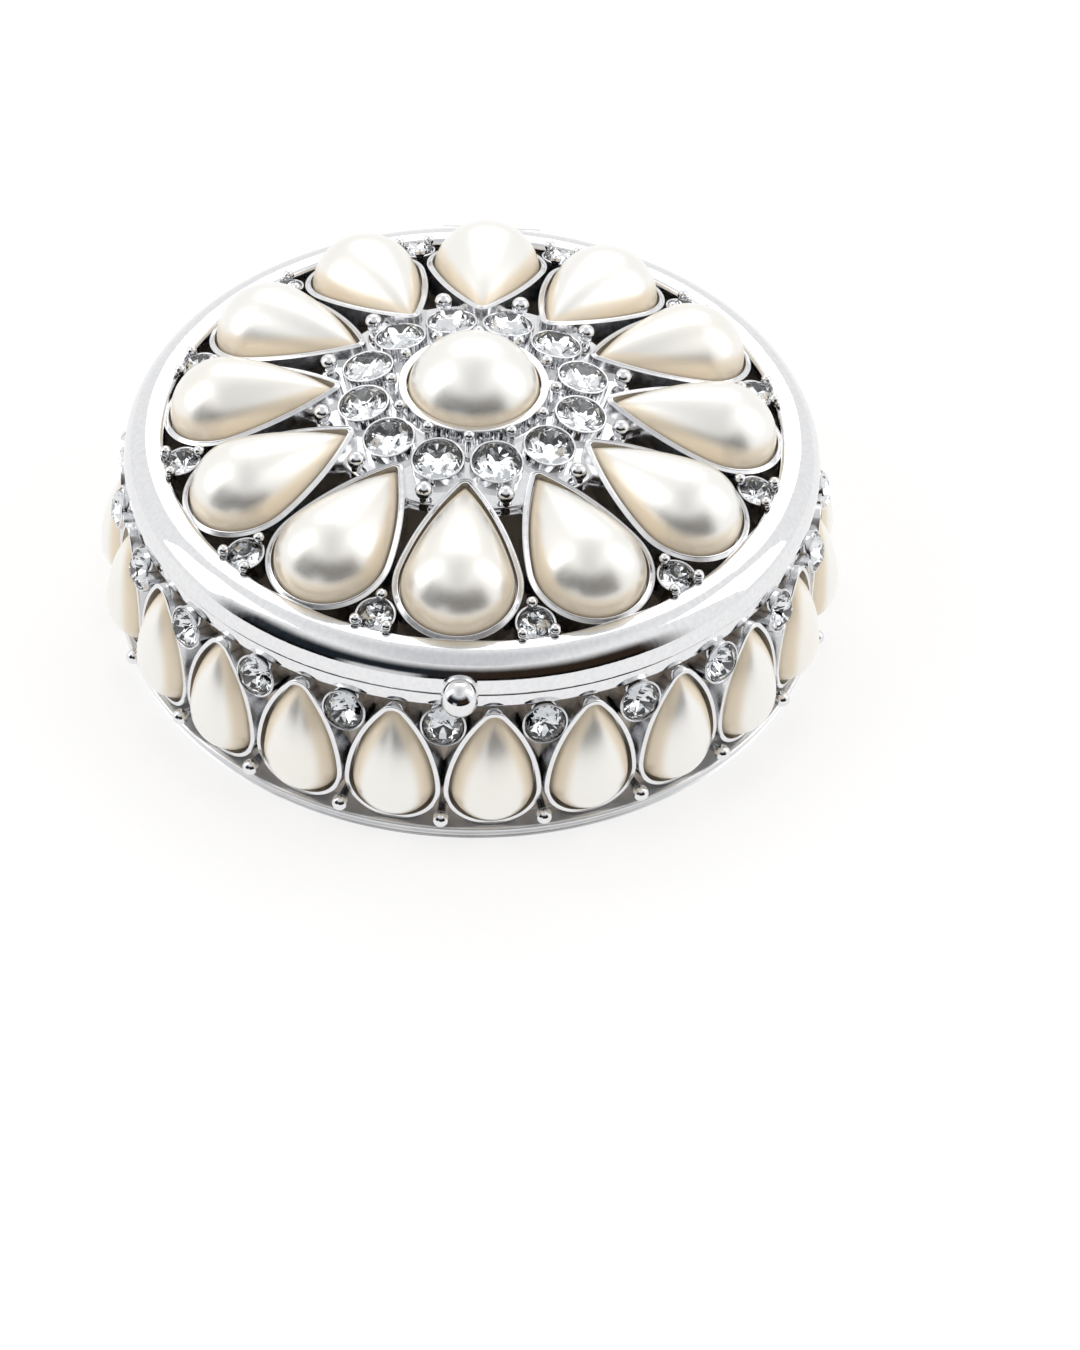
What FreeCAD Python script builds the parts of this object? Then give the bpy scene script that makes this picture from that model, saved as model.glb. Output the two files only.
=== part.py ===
import FreeCAD, Part
import math
import os
import re
import Sketcher

# A round hinged trinket box: a plated cast cup and an openwork lid, both set with
# drop-shaped pearls and faceted crystals. The origin is the middle of the underside,
# +Z is up, the lift knob is at the front (-Y) and the hinge at the back (+Y).
# Lengths are millimetres and angles degrees. Angles round the box count from the
# front towards +X.

DIMENSIONS = (
    # cup
    ("base_height", 18.3, "table to the seam under the lid"),
    ("inner_radius", 31.2, "inside of the cup"),
    ("floor_thickness", 1.4, "floor of the cup"),
    ("wall_foot", 2.5, "wall of the cup where it meets the foot band"),
    ("wall_top", 1.8, "wall of the cup where it meets the flange"),
    ("foot_width", 4.85, "foot band, from the inside of the cup outward"),
    ("foot_height", 1.7, "foot band"),
    ("flange_width", 3.4, "band under the lid, from the inside of the cup outward"),
    ("flange_height", 1.7, "band under the lid"),
    ("edge_round", 0.3, "rounded edges of foot, flange and rim"),
    ("floor_cove", 1.0, "hollow corner between floor and wall"),
    ("cut_overrun", 1.0, "how far cutting shapes run past what they cut"),
    ("glue_gap", 0.05, "between a pearl or crystal and its bezel"),
    # drop pearls round the side
    ("side_count", 23, "pearls round the side"),
    ("side_turn", -1.0, "angle of the first side crystal"),
    ("side_lean", 0.5, "how far the side leans in towards the lid"),
    ("side_pearl_gap", 0.3, "between neighbouring bezels"),
    ("side_pearl_lift", 0.1, "bezel above the foot band"),
    ("side_pearl_drop", 1.8, "bezel tip below the seam"),
    ("side_pearl_stand", 1.75, "bezel lip out from the wall of the cup"),
    ("side_pearl_flank_share", 1.225, "flank radius to that of a pointed arch"),
    ("side_pearl_tip_round", 0.85, "round at the pearl's tip"),
    ("side_pearl_edge", 0.15, "straight edge of the pearl, at its flat back"),
    ("side_pearl_dome", 3.6, "dome above that edge"),
    ("side_pearl_seat", 1.4, "depth of the seat below the bezel's lip"),
    ("side_pearl_wall", 0.6, "bezel wall"),
    # crystals and beads round the side
    ("side_crystal_diameter", 3.9, "faceted stone"),
    ("side_crystal_crown", 0.8, "girdle to table"),
    ("side_crystal_depth", 1.2, "girdle to point"),
    ("side_crystal_wall", 0.22, "cup wall"),
    ("side_crystal_stand", 2.6, "cup lip out from the wall of the box"),
    ("side_crystal_drop", 3.4, "middle of the stone below the seam"),
    ("side_crystal_tilt", 12.0, "how far a stone looks up"),
    ("side_bead_diameter", 1.6, "bead at the foot"),
    ("side_bead_reach", 0.5, "middle of the bead out from the foot band"),
    ("side_bead_lift", 1.8, "middle of the bead above the foot band"),
    ("crystal_sink", 0.15, "girdle of a stone below the lip of its cup"),
    # magnets
    ("magnet_inset", 4.2, "middle of both magnets in from the inside of the cup"),
    ("magnet_post_diameter", 9.6, "post inside the cup"),
    ("magnet_post_drop", 4.7, "top of the post below the seam"),
    ("base_magnet_diameter", 6.8, "disc in the post"),
    ("base_magnet_thickness", 2.0, "disc in the post"),
    ("magnet_recess", 0.5, "disc below the top of the post"),
    ("magnet_play", 0.4, "between disc and pocket wall"),
    ("lid_magnet_diameter", 6.0, "disc in the lid's holder"),
    ("lid_magnet_thickness", 2.0, "disc in the lid's holder"),
    ("lid_holder_wall", 0.5, "wall round the lid's disc"),
    ("magnet_gap", 0.5, "between the post and the lid's holder when shut"),
    # hinge
    ("hinge_reach", 0.7, "hinge axis out from the flange"),
    ("hinge_rise", 0.7, "hinge axis above the seam"),
    ("hinge_width", 10.4, "all three knuckles"),
    ("lid_knuckle_width", 3.4, "middle knuckle"),
    ("knuckle_diameter", 2.4, "all knuckles"),
    ("knuckle_gap", 0.15, "between neighbouring knuckles"),
    ("knuckle_clearance", 0.25, "notch round the other half's knuckles"),
    ("hinge_leaf", 0.6, "thickness of the leaf that carries a knuckle"),
    ("hinge_leaf_reach", 1.8, "how far a leaf runs in from the axis"),
    ("hinge_pin_diameter", 1.0, "pin"),
    ("pin_clearance", 0.04, "radial running fit"),
    # lid rim and knob
    ("seam_gap", 0.12, "between cup and lid"),
    ("rim_overhang", 0.3, "rim out past the flange"),
    ("rim_width", 4.2, "rim, across the ring"),
    ("rim_height", 3.6, "seam to the top of the rim"),
    ("rim_round_share", 0.75, "outer shoulder, of the rim's lesser side"),
    ("rim_inner_share", 0.2, "inner shoulder, of the rim's lesser side"),
    ("knob_diameter", 3.6, "ball"),
    ("knob_reach", 1.5, "middle of the ball out from the rim"),
    ("knob_rise", 1.1, "middle of the ball above the underside of the rim"),
    ("knob_offset", 0.9, "middle of the ball to the right of the front"),
    ("knob_peg_diameter", 1.4, "peg in the rim"),
    ("knob_peg_length", 3.6, "peg, from the middle of the ball"),
    # petals of the lid
    ("petal_count", 12, "petals"),
    ("petal_slope", 15.8, "how far a petal slopes down to the rim"),
    ("petal_gap", 0.85, "between neighbouring bezels"),
    ("petal_lap", 0.35, "bezel over the inside of the rim"),
    ("petal_lip_drop", 0.24, "bezel lip below the top of the rim, at the rim"),
    ("petal_tip_lap", 2.6, "bezel tip over the edge of the hub plate"),
    ("petal_pearl_flank_share", 1.95, "flank radius to that of a pointed arch"),
    ("petal_pearl_tip_round", 0.25, "round at the pearl's tip"),
    ("petal_pearl_edge", 0.15, "straight edge of the pearl, at its flat back"),
    ("petal_pearl_dome", 5.3, "dome above that edge"),
    ("petal_pearl_seat", 1.0, "depth of the seat below the bezel's lip"),
    ("petal_pearl_wall", 0.7, "bezel wall"),
    ("petal_pearl_blank", 2.6, "depth of the bezel"),
    # middle of the lid
    ("centre_pearl_diameter", 13.2, "half-round pearl"),
    ("centre_pearl_edge", 0.15, "straight edge of the pearl, at its flat back"),
    ("centre_pearl_dome", 6.0, "dome above that edge"),
    ("centre_seat", 1.4, "depth of the seat below the bezel's lip"),
    ("centre_wall", 0.85, "bezel wall"),
    ("centre_rise", 0.98, "bezel lip above the petals' tips"),
    ("hub_step", 1.7, "bezel lip down to the hub plate"),
    ("hub_thickness", 1.4, "hub plate"),
    ("hub_edge", 2.05, "hub plate out past the inner cups"),
    ("hub_fall", 1.0, "how far the hub plate falls to its edge"),
    # crystals of the lid
    ("inner_crystal_diameter", 4.7, "faceted stone"),
    ("inner_crystal_crown", 0.9, "girdle to table"),
    ("inner_crystal_depth", 1.2, "girdle to point"),
    ("inner_crystal_wall", 0.25, "cup wall"),
    ("inner_crystal_blank", 2.4, "depth of the cup down to the hub"),
    ("inner_crystal_gap", 1.0, "between the cups and the centre bezel"),
    ("inner_crystal_drop", 0.85, "cup lip below the centre bezel's lip"),
    ("inner_crystal_slope", 12.0, "how far a cup tips outward"),
    ("outer_crystal_diameter", 3.4, "faceted stone"),
    ("outer_crystal_crown", 0.7, "girdle to table"),
    ("outer_crystal_depth", 1.0, "girdle to point"),
    ("outer_crystal_wall", 0.25, "cup wall"),
    ("outer_crystal_blank", 2.2, "depth of the cup"),
    ("outer_crystal_inset", 1.3, "middle of the cup in from the inside of the rim"),
    ("claw_diameter", 1.15, "bead on a claw"),
    ("claw_rise", 0.45, "middle of a claw's bead above the cup lip"),
    # beads of the lid
    ("petal_bead_diameter", 1.8, "bead between two petal tips"),
    ("petal_bead_gap", 0.55, "between the bead and the nearest inner cups"),
    ("petal_bead_drop", 1.6, "middle of the bead below the centre bezel's lip"),
    ("crown_bead_diameter", 1.2, "bead beside the centre bezel"),
    ("crown_bead_gap", 0.05, "between the bead and the centre bezel"),
    ("crown_bead_drop", 0.0, "middle of the bead below the centre bezel's lip"),
)

# Sizes and places that follow from the driving ones, so that the pieces keep together
DERIVED = {
    # cup
    "foot_radius": "inner_radius + foot_width",
    "flange_radius": "inner_radius + flange_width",
    "ground_foot_radius": "inner_radius + wall_foot",
    "ground_flange_radius": "inner_radius + wall_top",
    "lid_floor": "base_height + seam_gap",
    # side settings: the pearls share out the round and fill the height of the wall
    "side_pearl_distance": "ground_foot_radius + side_pearl_stand",
    "side_pearl_half": "side_pearl_distance * tan(180 deg / side_count) - side_pearl_gap / 2",
    "side_pearl_width": "2 * (side_pearl_half - side_pearl_wall - glue_gap)",
    "side_pearl_height": "foot_height + side_pearl_lift + side_pearl_half * cos(side_lean * 1 deg)",
    "side_pearl_reach": "(base_height - side_pearl_drop - side_pearl_height) / cos(side_lean * 1 deg)",
    "side_pearl_length": "side_pearl_reach - side_pearl_wall - glue_gap + side_pearl_width / 2",
    "side_pearl_blank": "side_pearl_stand + wall_top / 2",
    "side_crystal_distance": "ground_flange_radius + side_crystal_stand",
    "side_crystal_height": "base_height - side_crystal_drop",
    "side_crystal_blank": "side_crystal_stand + wall_top / 3",
    "side_bead_distance": "foot_radius + side_bead_reach",
    "side_bead_height": "foot_height + side_bead_lift",
    # magnets and hinge
    "magnet_distance": "inner_radius - magnet_inset",
    "magnet_post_top": "base_height - magnet_post_drop",
    "hinge_distance": "flange_radius + hinge_reach",
    "hinge_height": "base_height + hinge_rise",
    # rim and knob
    "rim_radius": "flange_radius + rim_overhang",
    "rim_inner_radius": "rim_radius - rim_width",
    "rim_top": "lid_floor + rim_height",
    "rim_round": "rim_round_share * min(rim_height; rim_width)",
    "rim_inner_round": "rim_inner_share * min(rim_height; rim_width)",
    "knob_distance": "rim_radius + knob_reach",
    "knob_height": "lid_floor + knob_rise",
    # middle of the lid, from the centre pearl outward
    "centre_outside": "centre_pearl_diameter / 2 + glue_gap + centre_wall",
    "inner_cup_radius": "inner_crystal_diameter / 2 + glue_gap + inner_crystal_wall",
    "inner_crystal_distance": "max(centre_outside + inner_crystal_gap + inner_cup_radius;"
                              " inner_cup_radius / sin(180 deg / petal_count))",
    "hub_radius": "inner_crystal_distance + inner_cup_radius + hub_edge",
    "petal_bead_distance": "inner_crystal_distance + inner_cup_radius + petal_bead_gap + petal_bead_diameter / 2",
    "crown_bead_distance": "centre_outside + crown_bead_gap + crown_bead_diameter / 2",
    # petals: round ends share out the round just inside the rim, tips reach the hub
    "petal_turn": "tan(180 deg / petal_count)",
    "petal_cosine": "cos(petal_slope * 1 deg)",
    "petal_pearl_distance": "(rim_inner_radius + petal_lap + petal_gap * petal_cosine / 2)"
                            " / (1 + petal_turn * petal_cosine)",
    "petal_pearl_half": "petal_pearl_distance * petal_turn - petal_gap / 2",
    "petal_pearl_width": "2 * (petal_pearl_half - petal_pearl_wall - glue_gap)",
    "petal_pearl_height": "rim_top - petal_lip_drop + petal_pearl_half * sin(petal_slope * 1 deg)",
    "petal_pearl_reach": "(petal_pearl_distance - hub_radius + petal_tip_lap) / petal_cosine",
    "petal_pearl_length": "petal_pearl_reach - petal_pearl_wall - glue_gap + petal_pearl_width / 2",
    "petal_tip_height": "petal_pearl_height + petal_pearl_reach * sin(petal_slope * 1 deg)",
    # heights of the middle, and the outer crystals on the petals' own slope
    "centre_height": "petal_tip_height + centre_rise",
    "inner_crystal_height": "centre_height - inner_crystal_drop",
    "petal_bead_height": "centre_height - petal_bead_drop",
    "crown_bead_height": "centre_height - crown_bead_drop",
    "outer_crystal_distance": "rim_inner_radius - outer_crystal_inset",
    "outer_crystal_height": "petal_pearl_height"
                            " - (outer_crystal_distance - petal_pearl_distance) * tan(petal_slope * 1 deg)",
}
for drop in ("side_pearl", "petal_pearl"):
    half_width = "(%s_width / 2)" % drop
    tip_reach = "(%s_length - %s_width / 2)" % (drop, drop)
    pointed_arch = "(%s^2 + %s^2) / (2 * %s)" % (half_width, tip_reach, half_width)
    DERIVED[drop + "_flank"] = "%s_flank_share * %s" % (drop, pointed_arch)

# Shares of the sizes that they follow
TABLE_SHARE = 0.5
STEM_SHARE = 0.6
STONE_SIDES = 8
CLAW_TURNS = (0.0, 128.0, -128.0)
HALF_TURN = 180.0
FULL_TURN = 360.0
UPRIGHT = 90.0
TOLERANCE_SHARE = 0.00001

AXIS = FreeCAD.Vector(0, 0, 1)
ORIGIN = FreeCAD.Vector(0, 0, 0)

doc = FreeCAD.newDocument("TrinketBox")
sheet = doc.addObject("Spreadsheet::Sheet", "Dimensions")
for row, (alias, amount, note) in enumerate(DIMENSIONS, start=1):
    sheet.set("A%d" % row, note)
    sheet.set("B%d" % row, str(amount))
    sheet.setAlias("B%d" % row, alias)
doc.recompute()
ALIASES = {alias for alias, amount, note in DIMENSIONS}
nodes = []


def law(text):
    """Expression text with each dimension's name turned into its cell."""
    def cell(match):
        word = match.group()
        if word in DERIVED:
            return "(%s)" % law(DERIVED[word])
        return "Dimensions." + word if word in ALIASES else word
    return re.sub(r"[a-z_]+", cell, text)


def value(text):
    """Number that an expression gives now."""
    return float(sheet.evalExpression(law(text)))


def bind(thing, **laws):
    """Ties properties of a document object to the dimensions."""
    for name, text in laws.items():
        thing.setExpression(name, law(text))
    return thing


def node(thing, label):
    """Marks a document object as a finished piece under its own label."""
    thing.Label = label
    nodes.append(thing)
    return thing


def seat(angle, distance, height, rise):
    """Place on the box: x along it, y towards a drop's tip, z out of the surface."""
    turn = math.radians(angle)
    lift = math.radians(rise)
    out = FreeCAD.Vector(math.sin(turn), -math.cos(turn), 0)
    normal = out * math.cos(lift) + AXIS * math.sin(lift)
    tip = AXIS * math.cos(lift) - out * math.sin(lift)
    spin = FreeCAD.Rotation(tip.cross(normal), tip, normal, "ZYX")
    return FreeCAD.Placement(out * distance + AXIS * height, spin)


# Sketches

def new_sketch(body, name, role):
    sketch = body.newObject("Sketcher::SketchObject", name)
    plane = [item for item in body.Origin.OriginFeatures if item.Role == role][0]
    sketch.AttachmentSupport = (plane, [""])
    sketch.MapMode = "FlatFace"
    return sketch


def hold_size(sketch, kind, text, *where):
    index = sketch.addConstraint(Sketcher.Constraint(kind, *where, value(text)))
    sketch.setExpression("Constraints[%d]" % index, law(text))


def hold_point(sketch, geometry, point, across, along):
    """Fixes a sketch point by two expressions, or onto an axis where one is zero."""
    for kind, axis, text in (("DistanceX", -2, across), ("DistanceY", -1, along)):
        if text == "0":
            sketch.addConstraint(Sketcher.Constraint("PointOnObject", geometry, point, axis))
        else:
            hold_size(sketch, kind, text, -1, 1, geometry, point)


def outline(body, name, role, corners):
    """Closed outline of straight lines through corners given as expressions."""
    sketch = new_sketch(body, name, role)
    points = [FreeCAD.Vector(value(across), value(along), 0) for across, along in corners]
    for index, point in enumerate(points):
        sketch.addGeometry(Part.LineSegment(point, points[(index + 1) % len(points)]))
    for index, (across, along) in enumerate(corners):
        following = (index + 1) % len(corners)
        sketch.addConstraint(Sketcher.Constraint("Coincident", index, 2, following, 1))
        hold_point(sketch, index, 1, across, along)
    return sketch


def disc(body, name, role, radius, across="0", along="0"):
    sketch = new_sketch(body, name, role)
    centre = FreeCAD.Vector(value(across), value(along), 0)
    sketch.addGeometry(Part.Circle(centre, AXIS, value(radius)))
    hold_point(sketch, 0, 3, across, along)
    hold_size(sketch, "Radius", radius, 0)
    return sketch


def drop_tip(kind):
    """Expression for the middle of the tip's round, from the middle of the round end."""
    return "(%s_length - %s_width / 2 - %s_tip_round)" % (kind, kind, kind)


def drop_centre(kind):
    """Expression for where a flank's middle lies along the drop, from the round end."""
    words = {"half": "%s_width / 2" % kind, "flank": "%s_flank" % kind}
    words["round"] = "%s_tip_round" % kind
    words["tip"] = drop_tip(kind)
    return "(({tip}^2 + ({flank} - {half})^2 - ({flank} - {round})^2) / (2 * {tip}))".format(**words)


def drop_points(kind, offset):
    """Right flank of a drop: its middle, its two ends, and the middle of the tip's round."""
    half = value("%s_width / 2" % kind)
    flank = value("%s_flank" % kind)
    along = value(drop_centre(kind))
    middle = FreeCAD.Vector(-math.sqrt((flank - half) ** 2 - along ** 2), along, 0)
    shoulder = middle * (-(half + value(offset)) / (flank - half))
    tip = FreeCAD.Vector(0, value(drop_tip(kind)), 0)
    top = middle + (tip - middle).normalize() * (flank + value(offset))
    return middle, shoulder, top, tip


def arc_between(middle, start, end):
    """Arc about middle from start to end."""
    radius = (start - middle).Length
    halfway = (start - middle) + (end - middle)
    return Part.Arc(start, middle + halfway.normalize() * radius, end)


def mirrored(point):
    return FreeCAD.Vector(-point.x, point.y, point.z)


def drop_arcs(kind, offset):
    """Arcs of a drop in order: round end, right flank, tip and left flank."""
    middle, shoulder, top, tip = drop_points(kind, offset)
    bottom = FreeCAD.Vector(0, -shoulder.Length, 0)
    apex = tip + FreeCAD.Vector(0, (top - tip).Length, 0)
    return (Part.Arc(mirrored(shoulder), bottom, shoulder), arc_between(middle, shoulder, top),
            Part.Arc(top, apex, mirrored(top)),
            arc_between(mirrored(middle), mirrored(top), mirrored(shoulder)))


def drop_sketch(body, name, kind, offset):
    """Drop outline: a round end about the origin, two long flanks and a rounded tip."""
    sketch = new_sketch(body, name, "XY_Plane")
    for arc in drop_arcs(kind, offset):
        sketch.addGeometry(arc)
    rules = (("Coincident", 0, 3, -1, 1), ("PointOnObject", 2, 3, -2), ("Tangent", 0, 2, 1, 1),
             ("Tangent", 1, 2, 2, 1), ("Tangent", 2, 2, 3, 1), ("Tangent", 3, 2, 0, 1), ("Equal", 1, 3))
    for rule in rules:
        sketch.addConstraint(Sketcher.Constraint(*rule))
    hold_size(sketch, "Radius", "%s_width / 2 + %s" % (kind, offset), 0)
    hold_size(sketch, "Radius", "%s_flank + %s" % (kind, offset), 1)
    hold_size(sketch, "Radius", "%s_tip_round + %s" % (kind, offset), 2)
    hold_size(sketch, "DistanceY", drop_tip(kind), -1, 1, 2, 3)
    return sketch


# Features

def new_body(name):
    return doc.addObject("PartDesign::Body", name)


def feature(body, kind, name, sketch, length=None, side="One side", backwards=False, lift=None):
    """Pad or Pocket of a sketch, optionally on a plane raised along its normal."""
    thing = body.newObject("PartDesign::" + kind, name)
    thing.Profile = sketch
    thing.SideType = side
    thing.Reversed = backwards
    bind(thing, Length=length)
    if lift:
        sketch.setExpression("AttachmentOffset.Base.z", law(lift))
    return thing


def revolve(body, name, sketch):
    thing = body.newObject("PartDesign::Revolution", name)
    thing.Profile = sketch
    thing.ReferenceAxis = (sketch, ["V_Axis"])
    thing.Angle = FULL_TURN
    return thing


def round_edges(body, base, name, radius, places):
    """Fillet of the circular edges that lie at the given radius and height."""
    doc.recompute()
    wanted = [(value(across), value(along)) for across, along in places]
    near = value("foot_radius") * TOLERANCE_SHARE
    found = []
    for index, edge in enumerate(base.Shape.Edges, start=1):
        if not isinstance(edge.Curve, Part.Circle):
            continue
        circle = (edge.Curve.Radius, edge.Curve.Center.z)
        if any(math.dist(circle, place) < near for place in wanted):
            found.append("Edge%d" % index)
    thing = body.newObject("PartDesign::Fillet", name)
    thing.Base = (base, found)
    return bind(thing, Radius=radius)


def boolean(kind, name, base, tools):
    """Part::Cut or Part::Common with several tools, or Part::MultiFuse of all."""
    if kind == "MultiFuse":
        thing = doc.addObject("Part::MultiFuse", name)
        thing.Shapes = [base] + list(tools)
        return thing
    for index, tool in enumerate(tools, start=1):
        thing = doc.addObject("Part::" + kind, "%s_%d" % (name, index))
        thing.Base = base
        thing.Tool = tool
        base = thing
    return base


def cylinder(name, radius, height, place):
    thing = bind(doc.addObject("Part::Cylinder", name), Radius=radius, Height=height)
    thing.Placement = place
    return thing


def turned(shape, angle):
    copy = shape.copy()
    copy.rotate(ORIGIN, AXIS, angle)
    return copy


def ring_node(label, master, count, first):
    """One node that holds a ring of separate copies of a master shape."""
    doc.recompute()
    ring = doc.addObject("Part::Feature", label)
    angles = [first + FULL_TURN * index / count for index in range(count)]
    ring.Shape = Part.makeCompound([turned(master.Shape, angle) for angle in angles])
    return node(ring, label)


def numbered_nodes(label, shape, place, count, first):
    """A ring of nodes, each one copy of a shape, numbered from the front."""
    for index in range(count):
        spin = FreeCAD.Rotation(AXIS, first + FULL_TURN * index / count)
        name = "%s_%02d" % (label, index + 1)
        node(placed(name, shape, FreeCAD.Placement(ORIGIN, spin) * place), name)


# Settings and stones

def bezel_blank(kind):
    """Solid drop as deep as the bezel, its lip at z = 0."""
    body = new_body(kind + "_blank")
    sketch = drop_sketch(body, kind + "_outside", kind, "(glue_gap + %s_wall)" % kind)
    feature(body, "Pad", kind + "_depth", sketch, kind + "_blank", backwards=True)
    return body


def bezel_pocket(kind):
    """Solid drop that clears the pearl, from its seat to past the lip."""
    body = new_body(kind + "_pocket")
    sketch = drop_sketch(body, kind + "_inside", kind, "glue_gap")
    feature(body, "Pad", kind + "_room", sketch, "%s_seat + cut_overrun" % kind,
            lift="-%s_seat" % kind)
    return body


def drop_pearl(kind):
    """Flat-backed drop pearl: half of a drop turned about its length, on a thin straight edge."""
    middle, shoulder, top, tip = drop_points(kind, "0")
    bottom = FreeCAD.Vector(0, -shoulder.Length, 0)
    apex = tip + FreeCAD.Vector(0, (top - tip).Length, 0)
    back = Part.Face(Part.Wire([arc.toShape() for arc in drop_arcs(kind, "0")]))
    back.translate(AXIS * -value(kind + "_seat"))
    edge = back.extrude(AXIS * value(kind + "_edge"))
    half_end = arc_between(ORIGIN, bottom, shoulder).toShape()
    flank = arc_between(middle, shoulder, top).toShape()
    half_tip = arc_between(tip, top, apex).toShape()
    section = Part.Face(Part.Wire([half_end, flank, half_tip, Part.makeLine(apex, bottom)]))
    dome = section.revolve(ORIGIN, FreeCAD.Vector(0, -1, 0), HALF_TURN)
    flatten = FreeCAD.Matrix()
    flatten.scale(1, 1, value(kind + "_dome") / shoulder.Length)
    dome = dome.transformGeometry(flatten)
    dome.translate(AXIS * value("%s_edge - %s_seat" % (kind, kind)))
    return edge.fuse(dome).removeSplitter()


def faceted_stone(kind):
    """Chaton: flat table, sloping crown facets and a pointed back, girdle at z = 0."""
    girdle = value(kind + "_diameter / 2")
    corners = [FreeCAD.Rotation(AXIS, FULL_TURN * side / STONE_SIDES).multVec(FreeCAD.Vector(1, 0, 0))
               for side in range(STONE_SIDES)]
    table = [corner * girdle * TABLE_SHARE + AXIS * value(kind + "_crown") for corner in corners]
    rim = [corner * girdle for corner in corners]
    point = AXIS * -value(kind + "_depth")
    outlines = [table]
    for side in range(STONE_SIDES):
        after = (side + 1) % STONE_SIDES
        outlines.append([rim[side], rim[after], table[after], table[side]])
        outlines.append([point, rim[after], rim[side]])
    facets = [Part.Face(Part.makePolygon(ring + ring[:1])) for ring in outlines]
    stone = Part.makeSolid(Part.makeShell(facets))
    if stone.Volume < 0:
        stone.reverse()
    return stone


def stone_cup(kind):
    """Round cup for a stone, its lip at z = 0."""
    body = new_body(kind + "_cup")
    room = "%s_diameter / 2 + glue_gap" % kind
    wall = disc(body, kind + "_cup_outside", "XY_Plane", "%s + %s_wall" % (room, kind))
    feature(body, "Pad", kind + "_cup_depth", wall, kind + "_blank", backwards=True)
    bore = disc(body, kind + "_cup_inside", "XY_Plane", room)
    depth = "%s_depth + crystal_sink + glue_gap" % kind
    feature(body, "Pocket", kind + "_cup_room", bore, depth)
    return body


def bead(name, diameter, stem, place):
    """Ball on a thinner stem that runs back along its own -z."""
    ball = bind(doc.addObject("Part::Sphere", name + "_ball"), Radius=diameter + " / 2")
    ball.Placement = place
    start = FreeCAD.Placement(FreeCAD.Vector(0, 0, -value(stem)), FreeCAD.Rotation())
    post = cylinder(name + "_stem", "%s / 2 * %s" % (diameter, STEM_SHARE), stem, place * start)
    return boolean("MultiFuse", name, ball, [post])


def placed(name, shape, place):
    thing = doc.addObject("Part::Feature", name)
    thing.Shape = shape
    thing.Placement = place
    return thing


def wedge(name, count):
    """One share of the round, as tall as the box, centred on the front."""
    body = new_body(name)
    reach = "(foot_radius + cut_overrun)"
    spread = "%s * tan(180 deg / %s)" % (reach, count)
    sketch = outline(body, name + "_plan", "XY_Plane",
                     (("0", "0"), ("-" + spread, "-" + reach), (spread, "-" + reach)))
    feature(body, "Pad", name + "_rise", sketch, "centre_height + cut_overrun")
    return body


# Hinge

def hinge_bar(body, kind, name, radius, width):
    """Round bar or cut along the hinge axis, centred on the middle plane."""
    sketch = disc(body, name + "_end", "YZ_Plane", radius, "hinge_distance", "hinge_height")
    return feature(body, kind, name, sketch, width, side="Symmetric")


def hinge_leaf(body, name, low, high, width):
    """Flat leaf from the ring in to the hinge axis."""
    near = "hinge_distance - hinge_leaf_reach"
    corners = ((near, low), ("hinge_distance", low), ("hinge_distance", high), (near, high))
    sketch = outline(body, name + "_end", "YZ_Plane", corners)
    return feature(body, "Pad", name, sketch, width, side="Symmetric")


KNUCKLE = "knuckle_diameter / 2"
NOTCH = "knuckle_diameter / 2 + knuckle_clearance"
LID_SLOT = "lid_knuckle_width + 2 * knuckle_gap"
PIN_HOLE = "hinge_pin_diameter / 2 + pin_clearance"


# Base

def make_base_cup():
    """Cup with foot band, recessed wall, flange and the two outer hinge knuckles."""
    body = new_body("base_cup")
    under_flange = "base_height - flange_height"
    corners = (("0", "0"), ("foot_radius", "0"), ("foot_radius", "foot_height"),
               ("ground_foot_radius", "foot_height"), ("ground_flange_radius", under_flange),
               ("flange_radius", under_flange), ("flange_radius", "base_height"),
               ("inner_radius", "base_height"), ("inner_radius", "floor_thickness"),
               ("0", "floor_thickness"))
    wall = revolve(body, "cup_wall", outline(body, "cup_section", "XZ_Plane", corners))
    cove = round_edges(body, wall, "cup_cove", "floor_cove", (("inner_radius", "floor_thickness"),))
    soft = (("foot_radius", "0"), ("foot_radius", "foot_height"), ("flange_radius", under_flange),
            ("flange_radius", "base_height"), ("inner_radius", "base_height"))
    round_edges(body, cove, "cup_soft_edges", "edge_round", soft)
    hinge_leaf(body, "cup_leaf", "base_height - hinge_leaf", "base_height", "hinge_width")
    hinge_bar(body, "Pad", "cup_knuckles", KNUCKLE, "hinge_width")
    hinge_bar(body, "Pocket", "cup_notch", NOTCH, LID_SLOT)
    hinge_bar(body, "Pocket", "cup_pin_hole", PIN_HOLE, "hinge_width + 2 * cut_overrun")
    return node(body, "base_cup")


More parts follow.
